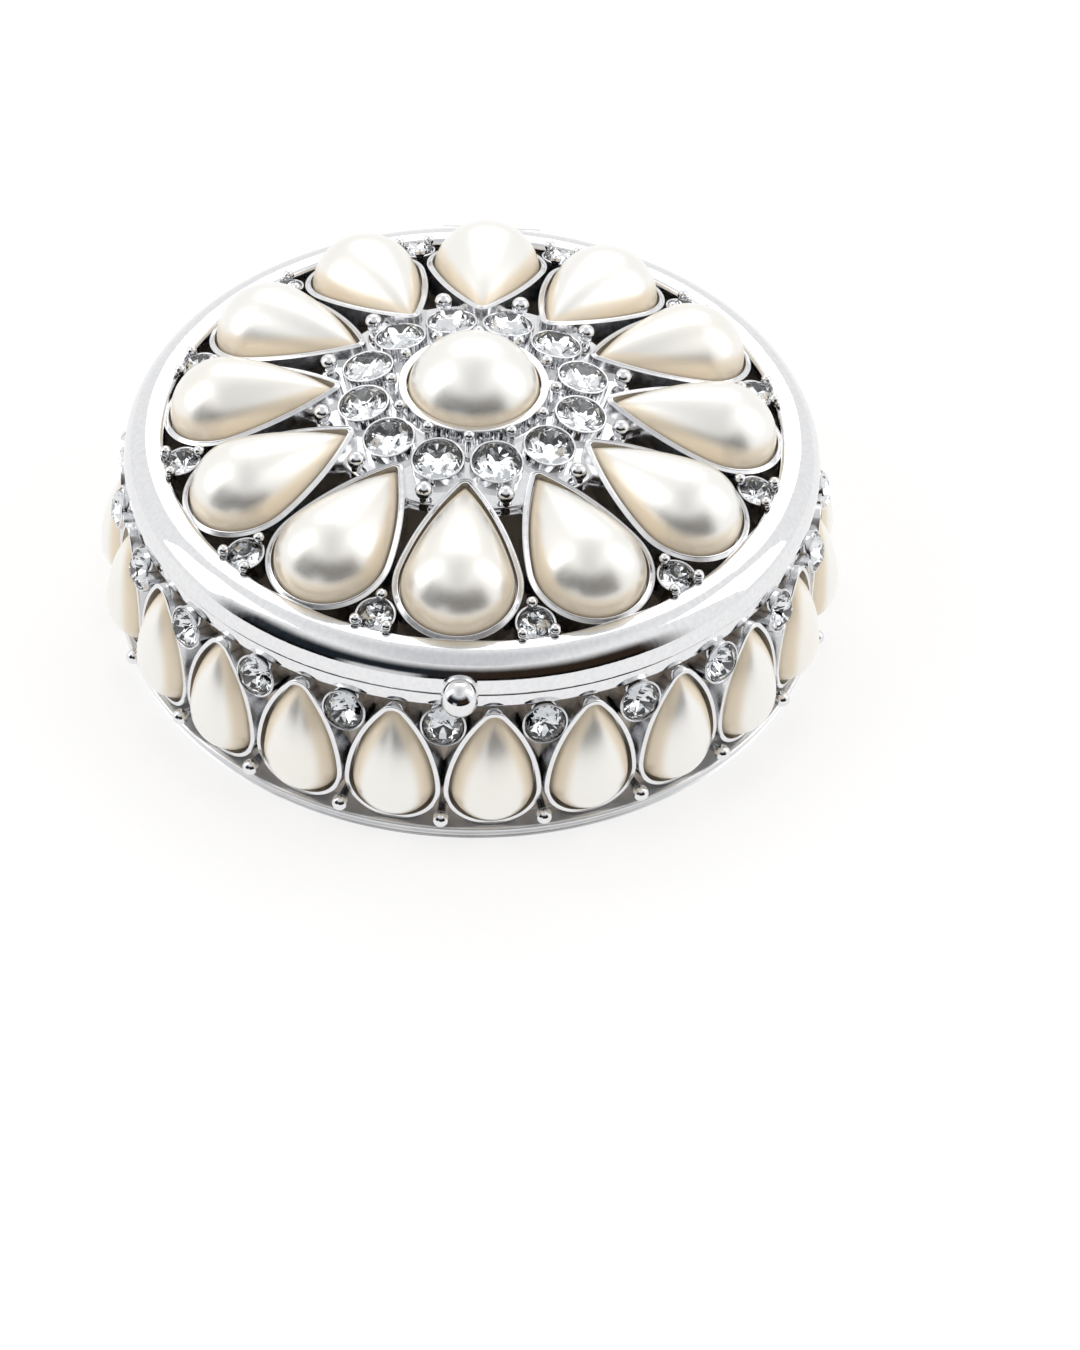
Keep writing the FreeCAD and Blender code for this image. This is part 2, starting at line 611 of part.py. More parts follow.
def make_side(cup):
    """Pearls, crystals and beads round the side, each setting trimmed to the cup."""
    count = int(value("side_count"))
    turn = value("side_turn")
    half_pitch = HALF_TURN / count
    lean = value("side_lean")
    kind = "side_pearl"
    place = seat(0, value(kind + "_distance"), value(kind + "_height"), lean)
    blank = bezel_blank(kind)
    pocket = bezel_pocket(kind)
    share = wedge("side_share", "side_count")
    blank.Placement = place
    pocket.Placement = place
    bezel = boolean("Common", "side_bezel_share", blank, [share])
    bezel = boolean("Cut", "side_bezel", bezel, [pocket, cup])
    ring_node("side_pearl_bezels", bezel, count, turn + half_pitch)
    numbered_nodes(kind, drop_pearl(kind), place, count, turn + half_pitch)

    kind = "side_crystal"
    place = seat(0, value(kind + "_distance"), value(kind + "_height"), value(kind + "_tilt"))
    socket = stone_cup(kind)
    socket.Placement = place
    beside = [placed("bezel_beside_%d" % number, blank.Shape, blank.Placement) for number in (1, 2)]
    for neighbour, angle in zip(beside, (half_pitch, -half_pitch)):
        spin = FreeCAD.Placement(ORIGIN, FreeCAD.Rotation(AXIS, angle))
        neighbour.Placement = spin * neighbour.Placement
    socket = boolean("Cut", "side_cup_trimmed", socket, [cup] + beside)
    ring_node("side_crystal_cups", socket, count, turn)
    sunk = place * FreeCAD.Placement(AXIS * -value("crystal_sink"), FreeCAD.Rotation())
    ring_node("side_crystals", placed("side_stone", faceted_stone(kind), sunk), count, turn)

    place = seat(0, value("side_bead_distance"), value("side_bead_height"), lean)
    stem = "side_bead_distance - (inner_radius + ground_foot_radius) / 2"
    grain = bead("side_grain", "side_bead_diameter", stem, place)
    grain = boolean("Cut", "side_grain_trimmed", grain, [cup] + beside)
    ring_node("side_beads", grain, count, turn)


def make_magnet_post(cup):
    """Post inside the cup at the front, with a pocket for the disc magnet."""
    body = new_body("post")
    post = disc(body, "post_plan", "XY_Plane", "magnet_post_diameter / 2", "0", "-magnet_distance")
    feature(body, "Pad", "post_rise", post, "magnet_post_top - floor_thickness", lift="floor_thickness")
    pocket = disc(body, "post_pocket_plan", "XY_Plane", "base_magnet_diameter / 2 + magnet_play",
                  "0", "-magnet_distance")
    feature(body, "Pocket", "post_pocket", pocket, "base_magnet_thickness + magnet_recess",
            lift="magnet_post_top")
    trimmed = boolean("Cut", "magnet_post_trimmed", body, [cup])
    node(trimmed, "magnet_post")
    low = value("magnet_post_top - magnet_recess - base_magnet_thickness")
    place = FreeCAD.Placement(FreeCAD.Vector(0, -value("magnet_distance"), low), FreeCAD.Rotation())
    magnet = cylinder("base_disc", "base_magnet_diameter / 2", "base_magnet_thickness", place)
    node(magnet, "base_magnet")


def make_hinge_pin():
    along = FreeCAD.Rotation(FreeCAD.Vector(0, 1, 0), UPRIGHT)
    end = FreeCAD.Vector(-value("hinge_width / 2"), value("hinge_distance"), value("hinge_height"))
    pin = cylinder("pin", "hinge_pin_diameter / 2", "hinge_width", FreeCAD.Placement(end, along))
    node(pin, "hinge_pin")


# Lid

def make_lid_rim():
    """Rounded ring with the middle hinge knuckle and the hole for the knob's peg."""
    body = new_body("lid_rim")
    corners = (("rim_inner_radius", "lid_floor"), ("rim_radius", "lid_floor"), ("rim_radius", "rim_top"),
               ("rim_inner_radius", "rim_top"))
    ring = revolve(body, "rim_ring", outline(body, "rim_section", "XZ_Plane", corners))
    ring = round_edges(body, ring, "rim_shoulder", "rim_round", (("rim_radius", "rim_top"),))
    ring = round_edges(body, ring, "rim_inner_shoulder", "rim_inner_round", (("rim_inner_radius", "rim_top"),))
    soft = (("rim_radius", "lid_floor"), ("rim_inner_radius", "lid_floor"))
    round_edges(body, ring, "rim_soft_edges", "edge_round", soft)
    hinge_bar(body, "Pocket", "rim_notch", NOTCH, "hinge_width + 2 * knuckle_gap")
    hinge_leaf(body, "rim_leaf", "lid_floor", "lid_floor + 2 * hinge_leaf", "lid_knuckle_width")
    hinge_bar(body, "Pad", "rim_knuckle", KNUCKLE, "lid_knuckle_width")
    hinge_bar(body, "Pocket", "rim_pin_hole", PIN_HOLE, "hinge_width + 2 * cut_overrun")
    peg = disc(body, "rim_peg_plan", "XZ_Plane", "knob_peg_diameter / 2 + glue_gap",
               "knob_offset", "knob_height")
    feature(body, "Pocket", "rim_peg_hole", peg, "knob_peg_length + glue_gap", lift="knob_distance")
    return node(body, "lid_rim")


def make_knob(rim):
    """Ball with a peg, its back trimmed to the rim that it stands on."""
    place = seat(0, value("knob_distance"), value("knob_height"), 0)
    place.Base.x = value("knob_offset")
    ball = bind(doc.addObject("Part::Sphere", "knob_ball"), Radius="knob_diameter / 2")
    ball.Placement = place
    start = FreeCAD.Placement(FreeCAD.Vector(0, 0, -value("knob_peg_length")), FreeCAD.Rotation())
    peg = cylinder("knob_peg", "knob_peg_diameter / 2", "knob_peg_length", place * start)
    knob = boolean("MultiFuse", "knob", ball, [peg])
    node(boolean("Cut", "knob_trimmed", knob, [rim]), "lift_knob")


def make_centre():
    """Centre bezel with its sloping hub plate, and the half-round pearl."""
    body = new_body("centre_bezel")
    room = "(centre_pearl_diameter / 2 + glue_gap)"
    outside = "centre_outside"
    plate = "centre_height - hub_step"
    floor = "centre_height - centre_seat"
    corners = (("0", plate + " - hub_thickness"), ("hub_radius", plate + " - hub_fall - hub_thickness"),
               ("hub_radius", plate + " - hub_fall"), (outside, plate), (outside, "centre_height"),
               (room, "centre_height"), (room, floor), ("0", floor))
    revolve(body, "hub", outline(body, "hub_section", "XZ_Plane", corners))
    node(body, "centre_bezel")
    low = FreeCAD.Placement(AXIS * value(floor), FreeCAD.Rotation())
    edge = cylinder("centre_edge", "centre_pearl_diameter / 2", "centre_pearl_edge", low)
    dome = bind(doc.addObject("Part::Ellipsoid", "centre_dome"), Radius1="centre_pearl_dome",
                Radius2="centre_pearl_diameter / 2", Radius3="centre_pearl_diameter / 2")
    dome.Angle1 = 0
    dome.Placement = FreeCAD.Placement(AXIS * value(floor + " + centre_pearl_edge"), FreeCAD.Rotation())
    node(boolean("MultiFuse", "centre_half_round", edge, [dome]), "centre_pearl")
    return body


def make_petals(rim, hub):
    """Drop bezels of the lid, each one share of the round, with their pearls."""
    count = int(value("petal_count"))
    kind = "petal_pearl"
    rise = UPRIGHT - value("petal_slope")
    place = seat(0, value(kind + "_distance"), value(kind + "_height"), rise)
    blank = bezel_blank(kind)
    pocket = bezel_pocket(kind)
    blank.Placement = place
    pocket.Placement = place
    share = wedge("petal_share", "petal_count")
    petal = boolean("Common", "petal_bezel_share", blank, [share])
    petal = boolean("Cut", "petal_bezel", petal, [pocket, rim, hub])
    ring_node("petal_bezels", petal, count, 0)
    numbered_nodes(kind, drop_pearl(kind), place, count, 0)
    return blank, petal, share


def make_lid_crystals(rim, hub, blank, share):
    """Ring of stones round the centre, and clawed stones between petals at the rim."""
    count = int(value("petal_count"))
    half_pitch = HALF_TURN / count
    kind = "inner_crystal"
    rise = UPRIGHT - value(kind + "_slope")
    place = seat(0, value(kind + "_distance"), value(kind + "_height"), rise)
    sunk = FreeCAD.Placement(AXIS * -value("crystal_sink"), FreeCAD.Rotation())
    socket = stone_cup(kind)
    socket.Placement = place
    socket = boolean("Common", "inner_cup_share", socket, [share])
    socket = boolean("Cut", "inner_cup_trimmed", socket, [hub])
    ring_node("inner_crystal_cups", socket, count, half_pitch)
    ring_node("inner_crystals", placed("inner_stone", faceted_stone(kind), place * sunk), count, half_pitch)

    kind = "outer_crystal"
    rise = UPRIGHT - value("petal_slope")
    place = seat(0, value(kind + "_distance"), value(kind + "_height"), rise)
    socket = stone_cup(kind)
    socket.Placement = place
    reach = value("outer_crystal_diameter / 2 + glue_gap + outer_crystal_wall")
    claws = []
    for number, turn in enumerate(CLAW_TURNS, start=1):
        foot = FreeCAD.Rotation(AXIS, turn).multVec(FreeCAD.Vector(0, reach, value("claw_rise")))
        stand = place * FreeCAD.Placement(foot, FreeCAD.Rotation())
        claws.append(bead("claw_%d" % number, "claw_diameter", "outer_crystal_blank / 2 + claw_rise", stand))
    socket = boolean("MultiFuse", "outer_cup_clawed", socket, claws)
    pit = cylinder("outer_cup_pit", "outer_crystal_diameter / 2 + glue_gap", "2 * outer_crystal_depth",
                   place * FreeCAD.Placement(AXIS * -value("outer_crystal_depth + crystal_sink"),
                                             FreeCAD.Rotation()))
    beside = [placed("petal_beside_%d" % number, blank.Shape, blank.Placement) for number in (1, 2)]
    for neighbour, angle in zip(beside, (half_pitch, -half_pitch)):
        spin = FreeCAD.Placement(ORIGIN, FreeCAD.Rotation(AXIS, angle))
        neighbour.Placement = spin * neighbour.Placement
    socket = boolean("Cut", "outer_cup_trimmed", socket, [pit, rim] + beside)
    ring_node("outer_crystal_cups", socket, count, half_pitch)
    ring_node("outer_crystals", placed("outer_stone", faceted_stone(kind), place * sunk), count, half_pitch)
    return half_pitch


def make_lid_beads(hub, half_pitch):
    """Beads between the petal tips, and smaller ones round the centre bezel."""
    count = int(value("petal_count"))
    for kind, label, first in (("petal_bead", "petal_beads", half_pitch), ("crown_bead", "crown_beads", 0)):
        place = seat(0, value(kind + "_distance"), value(kind + "_height"), UPRIGHT)
        stem = "hub_step + hub_thickness / 2 + hub_fall * {0}_distance / hub_radius - {0}_drop".format(kind)
        grain = bead(kind + "_grain", kind + "_diameter", stem, place)
        grain = boolean("Cut", kind + "_trimmed", grain, [hub])
        ring_node(label, grain, count, first)


def make_lid_magnet(blank):
    """Disc magnet in a round holder that hangs under the front petal."""
    wall = "lid_magnet_diameter / 2 + glue_gap + lid_holder_wall"
    low = "magnet_post_top + magnet_gap"
    lip = "(petal_pearl_height - (magnet_distance - petal_pearl_distance) * tan(petal_slope * 1 deg))"
    body = new_body("holder")
    plan = disc(body, "holder_plan", "XY_Plane", wall, "0", "-magnet_distance")
    feature(body, "Pad", "holder_rise", plan, "%s - petal_pearl_blank / 2 - (%s)" % (lip, low), lift=low)
    pocket = disc(body, "holder_pocket_plan", "XY_Plane", "lid_magnet_diameter / 2 + glue_gap",
                  "0", "-magnet_distance")
    feature(body, "Pocket", "holder_pocket", pocket, "lid_magnet_thickness", backwards=True, lift=low)
    node(boolean("Cut", "holder_trimmed", body, [blank]), "lid_magnet_holder")
    middle = FreeCAD.Vector(0, -value("magnet_distance"), value(low))
    magnet = cylinder("lid_disc", "lid_magnet_diameter / 2", "lid_magnet_thickness",
                      FreeCAD.Placement(middle, FreeCAD.Rotation()))
    node(magnet, "lid_magnet")


base_cup = make_base_cup()
make_side(base_cup)
make_magnet_post(base_cup)
make_hinge_pin()
lid_rim = make_lid_rim()
make_knob(lid_rim)
centre_hub = make_centre()
petal_blank, petal_master, petal_share = make_petals(lid_rim, centre_hub)
petal_half_pitch = make_lid_crystals(lid_rim, centre_hub, petal_blank, petal_share)
make_lid_beads(centre_hub, petal_half_pitch)
make_lid_magnet(petal_blank)
doc.recompute()

for thing in doc.Objects:
    if "Invalid" in thing.State or "Error" in thing.State:
        raise RuntimeError("%s did not build: %s" % (thing.Label, thing.State))
for piece in nodes:
    if piece.Shape.isNull() or not piece.Shape.isValid() or not piece.Shape.Solids:
        raise RuntimeError("%s has no valid solid" % piece.Label)

os.makedirs("parts", exist_ok=True)
for piece in nodes:
    piece.Shape.exportStep("parts/%s.step" % piece.Label)
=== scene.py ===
"""Round trinket box in bright plated metal, set with drop pearls and clear stones."""
import math
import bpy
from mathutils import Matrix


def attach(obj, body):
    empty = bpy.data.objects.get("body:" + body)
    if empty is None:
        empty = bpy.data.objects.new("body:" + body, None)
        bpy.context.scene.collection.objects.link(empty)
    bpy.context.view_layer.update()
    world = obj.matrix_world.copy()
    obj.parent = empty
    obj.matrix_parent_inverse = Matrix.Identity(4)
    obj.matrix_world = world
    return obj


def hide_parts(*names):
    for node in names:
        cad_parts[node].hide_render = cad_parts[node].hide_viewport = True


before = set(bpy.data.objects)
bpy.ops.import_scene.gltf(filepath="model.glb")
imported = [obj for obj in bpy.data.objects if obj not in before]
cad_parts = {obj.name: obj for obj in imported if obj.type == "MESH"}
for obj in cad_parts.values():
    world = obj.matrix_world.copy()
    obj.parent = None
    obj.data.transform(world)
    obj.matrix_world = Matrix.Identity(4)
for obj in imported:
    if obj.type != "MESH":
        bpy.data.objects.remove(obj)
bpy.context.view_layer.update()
from types import SimpleNamespace

import bmesh
import bpy
from bpy.props import FloatProperty, FloatVectorProperty, IntProperty, PointerProperty
from mathutils import Euler, Matrix, Vector

bl_info = {
    "name": "Pearl Trinket Box",
    "version": (1, 0, 0),
    "blender": (4, 5, 0),
    "location": "3D View > Sidebar > Trinket Box",
    "description": "Builds a round hinged trinket box set with pearls and crystals",
    "category": "Object",
}

MM = 0.001
UP = Vector((0, 0, 1))
BASE = "base"
LID = "lid"
METAL = "plated_metal"
PEARL = "pearl"
CRYSTAL = "crystal"
MAGNET = "magnet"


# Sizes and colours that a user would change

def linear(hex_text):
    """Linear colour with full alpha from an sRGB hex value."""
    def channel(part):
        amount = int(part, 16) / 255
        return amount / 12.92 if amount <= 0.04045 else ((amount + 0.055) / 1.055) ** 2.4
    return (*(channel(hex_text[place:place + 2]) for place in (0, 2, 4)), 1.0)


def length(name, millimetres, description):
    return FloatProperty(name=name, description=description, default=millimetres * MM,
                         unit="LENGTH", precision=5)


def angle(name, degrees, description):
    return FloatProperty(name=name, description=description, default=math.radians(degrees),
                         subtype="ANGLE", unit="ROTATION")


def share(name, amount, description):
    return FloatProperty(name=name, description=description, default=amount, min=0.0)


def colour(name, hex_text, description):
    return FloatVectorProperty(name=name, description=description, default=linear(hex_text),
                               size=4, min=0.0, max=1.0, subtype="COLOR")


class CupSizes(bpy.types.PropertyGroup):
    """Turned cup with foot band, recessed wall and flange"""
    height: length("Height", 18.3, "Table to the seam under the lid")
    inner_radius: length("Inner radius", 31.2, "Inside of the cup")
    floor: length("Floor", 1.4, "Thickness of the floor")
    wall_foot: length("Wall at foot", 2.5, "Wall where it meets the foot band")
    wall_top: length("Wall at top", 1.8, "Wall where it meets the flange")
    foot_width: length("Foot width", 4.85, "Foot band, from the inside outward")
    foot_height: length("Foot height", 1.7, "Height of the foot band")
    flange_width: length("Flange width", 3.4, "Band under the lid, from the inside outward")
    flange_height: length("Flange height", 1.7, "Height of the band under the lid")
    edge: length("Edge round", 0.3, "Rounded edges of foot, flange and rim")
    cove: length("Floor cove", 1.0, "Hollow corner between floor and wall")


class SideSizes(bpy.types.PropertyGroup):
    """Pearls, stones and grains round the side"""
    count: IntProperty(name="Count", description="Pearls round the side", default=23, min=3)
    turn: angle("Turn", -1.0, "Angle of the first stone from the front")
    lean: angle("Lean", 0.5, "How far the side leans in towards the lid")
    gap: length("Gap", 0.3, "Between neighbouring bezels")
    lift: length("Lift", 0.1, "Bezel above the foot band")
    drop: length("Drop", 1.8, "Bezel tip below the seam")
    stand: length("Stand", 1.75, "Bezel lip out from the wall")
    depth: length("Depth", 2.65, "Bezel lip to its back")
    flank_share: share("Flank", 1.225, "Flank radius to that of a pointed arch")
    tip_round: length("Tip round", 0.85, "Round at the pearl's tip")
    edge: length("Edge", 0.15, "Straight edge of the pearl at its flat back")
    dome: length("Dome", 3.6, "Dome above that edge")
    seat: length("Seat", 1.4, "Depth of the seat below the lip")
    wall: length("Wall", 0.6, "Bezel wall")
    # Painted shade: the cream band stands in for the shade at the pearl's steep edge.
    band: length("Band", 1.15, "Width of the cream band at the pearl's edge")
    stone: length("Stone", 3.9, "Diameter of a stone")
    stone_wall: length("Stone wall", 0.22, "Wall of a stone's cup")
    stone_stand: length("Stone stand", 2.6, "Cup lip out from the wall")
    stone_drop: length("Stone drop", 3.4, "Middle of the stone below the seam")
    stone_tilt: angle("Stone tilt", 12.0, "How far a stone looks up")
    stone_depth: length("Stone cup depth", 3.2, "Cup lip to its back")
    grain: length("Grain", 1.6, "Diameter of a grain at the foot")
    grain_reach: length("Grain reach", 0.5, "Middle of the grain out from the foot band")
    grain_lift: length("Grain lift", 1.8, "Middle of the grain above the foot band")


class RimSizes(bpy.types.PropertyGroup):
    """Ring of the lid and its lift ball"""
    seam: length("Seam", 0.12, "Between cup and lid")
    overhang: length("Overhang", 0.3, "Rim out past the flange")
    width: length("Width", 4.2, "Across the ring")
    height: length("Height", 3.6, "Seam to the top of the rim")
    round_share: share("Outer shoulder", 0.75, "Shoulder round, as a share of the height")
    inner_share: share("Inner shoulder", 0.2, "Shoulder round, as a share of the height")
    ball: length("Ball", 3.6, "Diameter of the lift ball")
    ball_reach: length("Ball reach", 1.5, "Middle of the ball out from the rim")
    ball_rise: length("Ball rise", 1.1, "Middle of the ball above the underside of the rim")
    ball_offset: length("Ball offset", 0.9, "Middle of the ball to the right of the front")
    peg: length("Peg", 1.4, "Diameter of the ball's peg")
    peg_length: length("Peg length", 3.6, "Peg, from the middle of the ball")


class HingeSizes(bpy.types.PropertyGroup):
    """Three knuckles on a pin"""
    reach: length("Reach", 0.7, "Axis out from the flange")
    rise: length("Rise", 0.7, "Axis above the seam")
    width: length("Width", 10.4, "All three knuckles")
    middle: length("Middle knuckle", 3.4, "Knuckle of the lid")
    knuckle: length("Knuckle", 2.4, "Diameter of the knuckles")
    gap: length("Gap", 0.15, "Between neighbouring knuckles")
    clearance: length("Clearance", 0.25, "Notch round the other half's knuckles")
    leaf: length("Leaf", 0.6, "Thickness of the leaf that carries a knuckle")
    leaf_reach: length("Leaf reach", 1.8, "How far a leaf runs in from the axis")
    bore: length("Bore", 1.08, "Diameter of the pin hole")


class PetalSizes(bpy.types.PropertyGroup):
    """Drop pearls of the lid"""
    count: IntProperty(name="Count", description="Petals", default=12, min=3)
    slope: angle("Slope", 15.8, "How far a petal slopes down to the rim")
    gap: length("Gap", 0.85, "Between neighbouring bezels")
    lap: length("Lap", 0.35, "Bezel over the inside of the rim")
    lip_drop: length("Lip drop", 0.24, "Bezel lip below the top of the rim")
    tip_lap: length("Tip lap", 2.6, "Bezel tip over the edge of the hub")
    depth: length("Depth", 2.6, "Bezel lip to its underside")
    flank_share: share("Flank", 1.95, "Flank radius to that of a pointed arch")
    tip_round: length("Tip round", 0.25, "Round at the pearl's tip")
    edge: length("Edge", 0.15, "Straight edge of the pearl at its flat back")
    dome: length("Dome", 5.3, "Dome above that edge")
    seat: length("Seat", 1.0, "Depth of the seat below the lip")
    wall: length("Wall", 0.7, "Bezel wall")
    # Painted shade: the cream band stands in for the shade at the pearl's steep edge.
    band: length("Band", 0.75, "Width of the cream band at the pearl's edge")


class HubSizes(bpy.types.PropertyGroup):
    """Centre pearl with its plate, and the stones and grains of the lid"""
    pearl: length("Pearl", 13.2, "Diameter of the half-round pearl")
    pearl_edge: length("Pearl edge", 0.15, "Straight edge of the pearl at its flat back")
    dome: length("Dome", 6.0, "Dome above that edge")
    seat: length("Seat", 1.4, "Depth of the seat below the lip")
    wall: length("Wall", 0.85, "Bezel wall")
    # Painted shade: the cream band stands in for the shade at the pearl's steep edge.
    band: length("Band", 0.45, "Width of the cream band at the pearl's edge")
    rise: length("Rise", 0.98, "Bezel lip above the petals' tips")
    step: length("Step", 1.7, "Bezel lip down to the plate")
    plate: length("Plate", 1.4, "Thickness of the plate")
    edge: length("Edge", 2.05, "Plate out past the inner cups")
    fall: length("Fall", 1.0, "How far the plate falls to its edge")
    inner_stone: length("Inner stone", 4.7, "Diameter of a stone")
    inner_wall: length("Inner cup wall", 0.25, "Wall of a stone's cup")
    inner_gap: length("Inner gap", 1.0, "Between the cups and the centre bezel")
    inner_drop: length("Inner drop", 0.85, "Cup lip below the centre bezel's lip")
    inner_slope: angle("Inner slope", 12.0, "How far a cup tips outward")
    inner_depth: length("Inner cup depth", 2.2, "Cup lip to its foot on the plate")
    outer_stone: length("Outer stone", 3.4, "Diameter of a stone")
    outer_wall: length("Outer cup wall", 0.25, "Wall of a stone's cup")
    outer_inset: length("Outer inset", 1.3, "Middle of the cup in from the rim")
    outer_depth: length("Outer cup depth", 2.2, "Cup lip to its foot")
    claw: length("Claw", 1.15, "Diameter of the grain on a claw")
    claw_rise: length("Claw rise", 0.45, "Middle of that grain above the cup lip")
    tip_grain: length("Tip grain", 1.8, "Grain between two petal tips")
    tip_gap: length("Tip grain gap", 0.55, "Between that grain and the nearest inner cups")
    tip_drop: length("Tip grain drop", 1.6, "Below the centre bezel's lip")
    crown_grain: length("Crown grain", 1.2, "Grain beside the centre bezel")
    crown_gap: length("Crown grain gap", 0.05, "Between that grain and the centre bezel")
    crown_drop: length("Crown grain drop", 0.0, "Below the centre bezel's lip")


class MagnetSizes(bpy.types.PropertyGroup):
    """Closing magnets at the front"""
    inset: length("Inset", 4.2, "Middle of both magnets in from the wall")
    post: length("Post", 9.6, "Diameter of the post")
    post_drop: length("Post drop", 4.7, "Top of the post below the seam")
    disc: length("Disc", 6.8, "Diameter of the disc in the post")
    disc_height: length("Disc height", 2.0, "Thickness of both discs")
    recess: length("Recess", 0.5, "Disc below the top of the post")
    play: length("Play", 0.4, "Between disc and pocket wall")
    holder_disc: length("Lid disc", 6.0, "Diameter of the disc in the lid")
    holder_wall: length("Holder wall", 0.5, "Wall round the lid's disc")
    gap: length("Gap", 0.5, "Between post and holder when shut")


class Finishes(bpy.types.PropertyGroup):
    """Colours of the metal, pearls, stones and magnets"""
    plate: colour("Bright plate", "EFEFF0", "Polished silver plate")
    plate_shade: colour("Bright plate shade", "D9DADC", "Duller patches of the polished plate")
    satin: colour("Satin plate", "F2E9DE", "Cast plate left satin")
    satin_shade: colour("Satin plate shade", "DFD1C1", "Hollows of the satin plate")
    lining: colour("Lining", "EEDDC9", "Plate inside the cup")
    lining_streak: colour("Lining streak", "E3D1BC", "Rubbed streaks inside the cup")
    pearl: colour("Pearl", "F4F3EF", "Pearl lacquer on the dome")
    pearl_shade: colour("Pearl shade", "F4EFE6", "Warmer pearls")
    # Painted shade: this cream edge colour stands in for the shade where a pearl's dome turns steeply
    # away from the lamps.
    pearl_edge: colour("Pearl edge", "F5E7D0", "Cream edge where the lacquer is thin")
    stone: colour("Stone", "FBFCFD", "Clear lead glass")
    foil: colour("Foil", "D5D8DB", "Silvered seat behind a stone")
    magnet: colour("Magnet", "7C726A", "Ferrite disc")
    magnet_speck: colour("Magnet speck", "4E4742", "Darker grains of the disc")


class StageSizes(bpy.types.PropertyGroup):
    """Camera, floor, lamps and flags"""
    azimuth: angle("Azimuth", 2.54, "Camera to the right of the front")
    elevation: angle("Elevation", 41.48, "Camera above the horizon")
    roll: angle("Roll", 1.30, "Camera turned about its own axis")
    distance: length("Distance", 396.0, "Camera from its target")
    across: length("Across", -0.68, "Camera moved sideways")
    along: length("Along", -5.72, "Camera moved up its own picture")
    target: length("Target", 16.0, "Height of the point looked at")
    floor: length("Floor", 4000.0, "Width of the floor")


class BoxSettings(bpy.types.PropertyGroup):
    """All sizes and colours of the box"""
    cup: PointerProperty(type=CupSizes)
    side: PointerProperty(type=SideSizes)
    rim: PointerProperty(type=RimSizes)
    hinge: PointerProperty(type=HingeSizes)
    petal: PointerProperty(type=PetalSizes)
    hub: PointerProperty(type=HubSizes)
    magnet: PointerProperty(type=MagnetSizes)
    finish: PointerProperty(type=Finishes)
    stage: PointerProperty(type=StageSizes)


GLUE = 0.05 * MM            # room between a stone or pearl and its setting
LIP = 0.14 * MM             # round on the lips of the settings
SINK = 0.15 * MM            # girdle of a stone below the lip of its cup
LIP_STEPS = 5
CUP_LIP_STEPS = 4
SHARP_DEGREES = 40.0


def layout(box):
    """Radii and heights that follow from the sizes."""
    cup, side, rim, hinge, petal, hub, magnet = (box.cup, box.side, box.rim, box.hinge, box.petal,
                                                 box.hub, box.magnet)
    place = SimpleNamespace()
    place.foot = cup.inner_radius + cup.foot_width
    place.flange = cup.inner_radius + cup.flange_width
    place.ground_foot = cup.inner_radius + cup.wall_foot
    place.ground_top = cup.inner_radius + cup.wall_top
    place.lid_floor = cup.height + rim.seam
    place.rim = place.flange + rim.overhang
    place.rim_inner = place.rim - rim.width
    place.rim_top = place.lid_floor + rim.height
    place.hinge_y = place.flange + hinge.reach
    place.hinge_z = cup.height + hinge.rise
    place.magnet_y = -(cup.inner_radius - magnet.inset)
    place.post_top = cup.height - magnet.post_drop

    place.side_distance = place.ground_foot + side.stand
    half = place.side_distance * math.tan(math.pi / side.count) - side.gap / 2
    place.side_width = 2 * (half - side.wall - GLUE)
    place.side_height = cup.foot_height + side.lift + half * math.cos(side.lean)
    reach = (cup.height - side.drop - place.side_height) / math.cos(side.lean)
    place.side_length = reach - side.wall - GLUE + place.side_width / 2

    place.hub_bezel = hub.pearl / 2 + GLUE + hub.wall
    place.inner_cup = hub.inner_stone / 2 + GLUE + hub.inner_wall
    pitch = math.pi / petal.count
    place.inner_distance = max(place.hub_bezel + hub.inner_gap + place.inner_cup,
                               place.inner_cup / math.sin(pitch))
    place.hub_edge = place.inner_distance + place.inner_cup + hub.edge
    place.tip_grain = place.inner_distance + place.inner_cup + hub.tip_gap + hub.tip_grain / 2
    place.crown_grain = place.hub_bezel + hub.crown_gap + hub.crown_grain / 2

    cosine = math.cos(petal.slope)
    turn = math.tan(pitch)
    place.petal_distance = ((place.rim_inner + petal.lap + petal.gap * cosine / 2)
                            / (1 + turn * cosine))
    half = place.petal_distance * turn - petal.gap / 2
    place.petal_width = 2 * (half - petal.wall - GLUE)
    place.petal_height = place.rim_top - petal.lip_drop + half * math.sin(petal.slope)
    reach = (place.petal_distance - place.hub_edge + petal.tip_lap) / cosine
    place.petal_length = reach - petal.wall - GLUE + place.petal_width / 2
    place.hub_height = place.petal_height + reach * math.sin(petal.slope) + hub.rise
    place.outer_distance = place.rim_inner - hub.outer_inset
    place.outer_height = (place.petal_height
                          - (place.outer_distance - place.petal_distance) * math.tan(petal.slope))
    return place


# Mesh helpers

def add_object(name, data):
    """New object in the scene."""
    made = bpy.data.objects.new(name, data)
    bpy.context.scene.collection.objects.link(made)
    return made


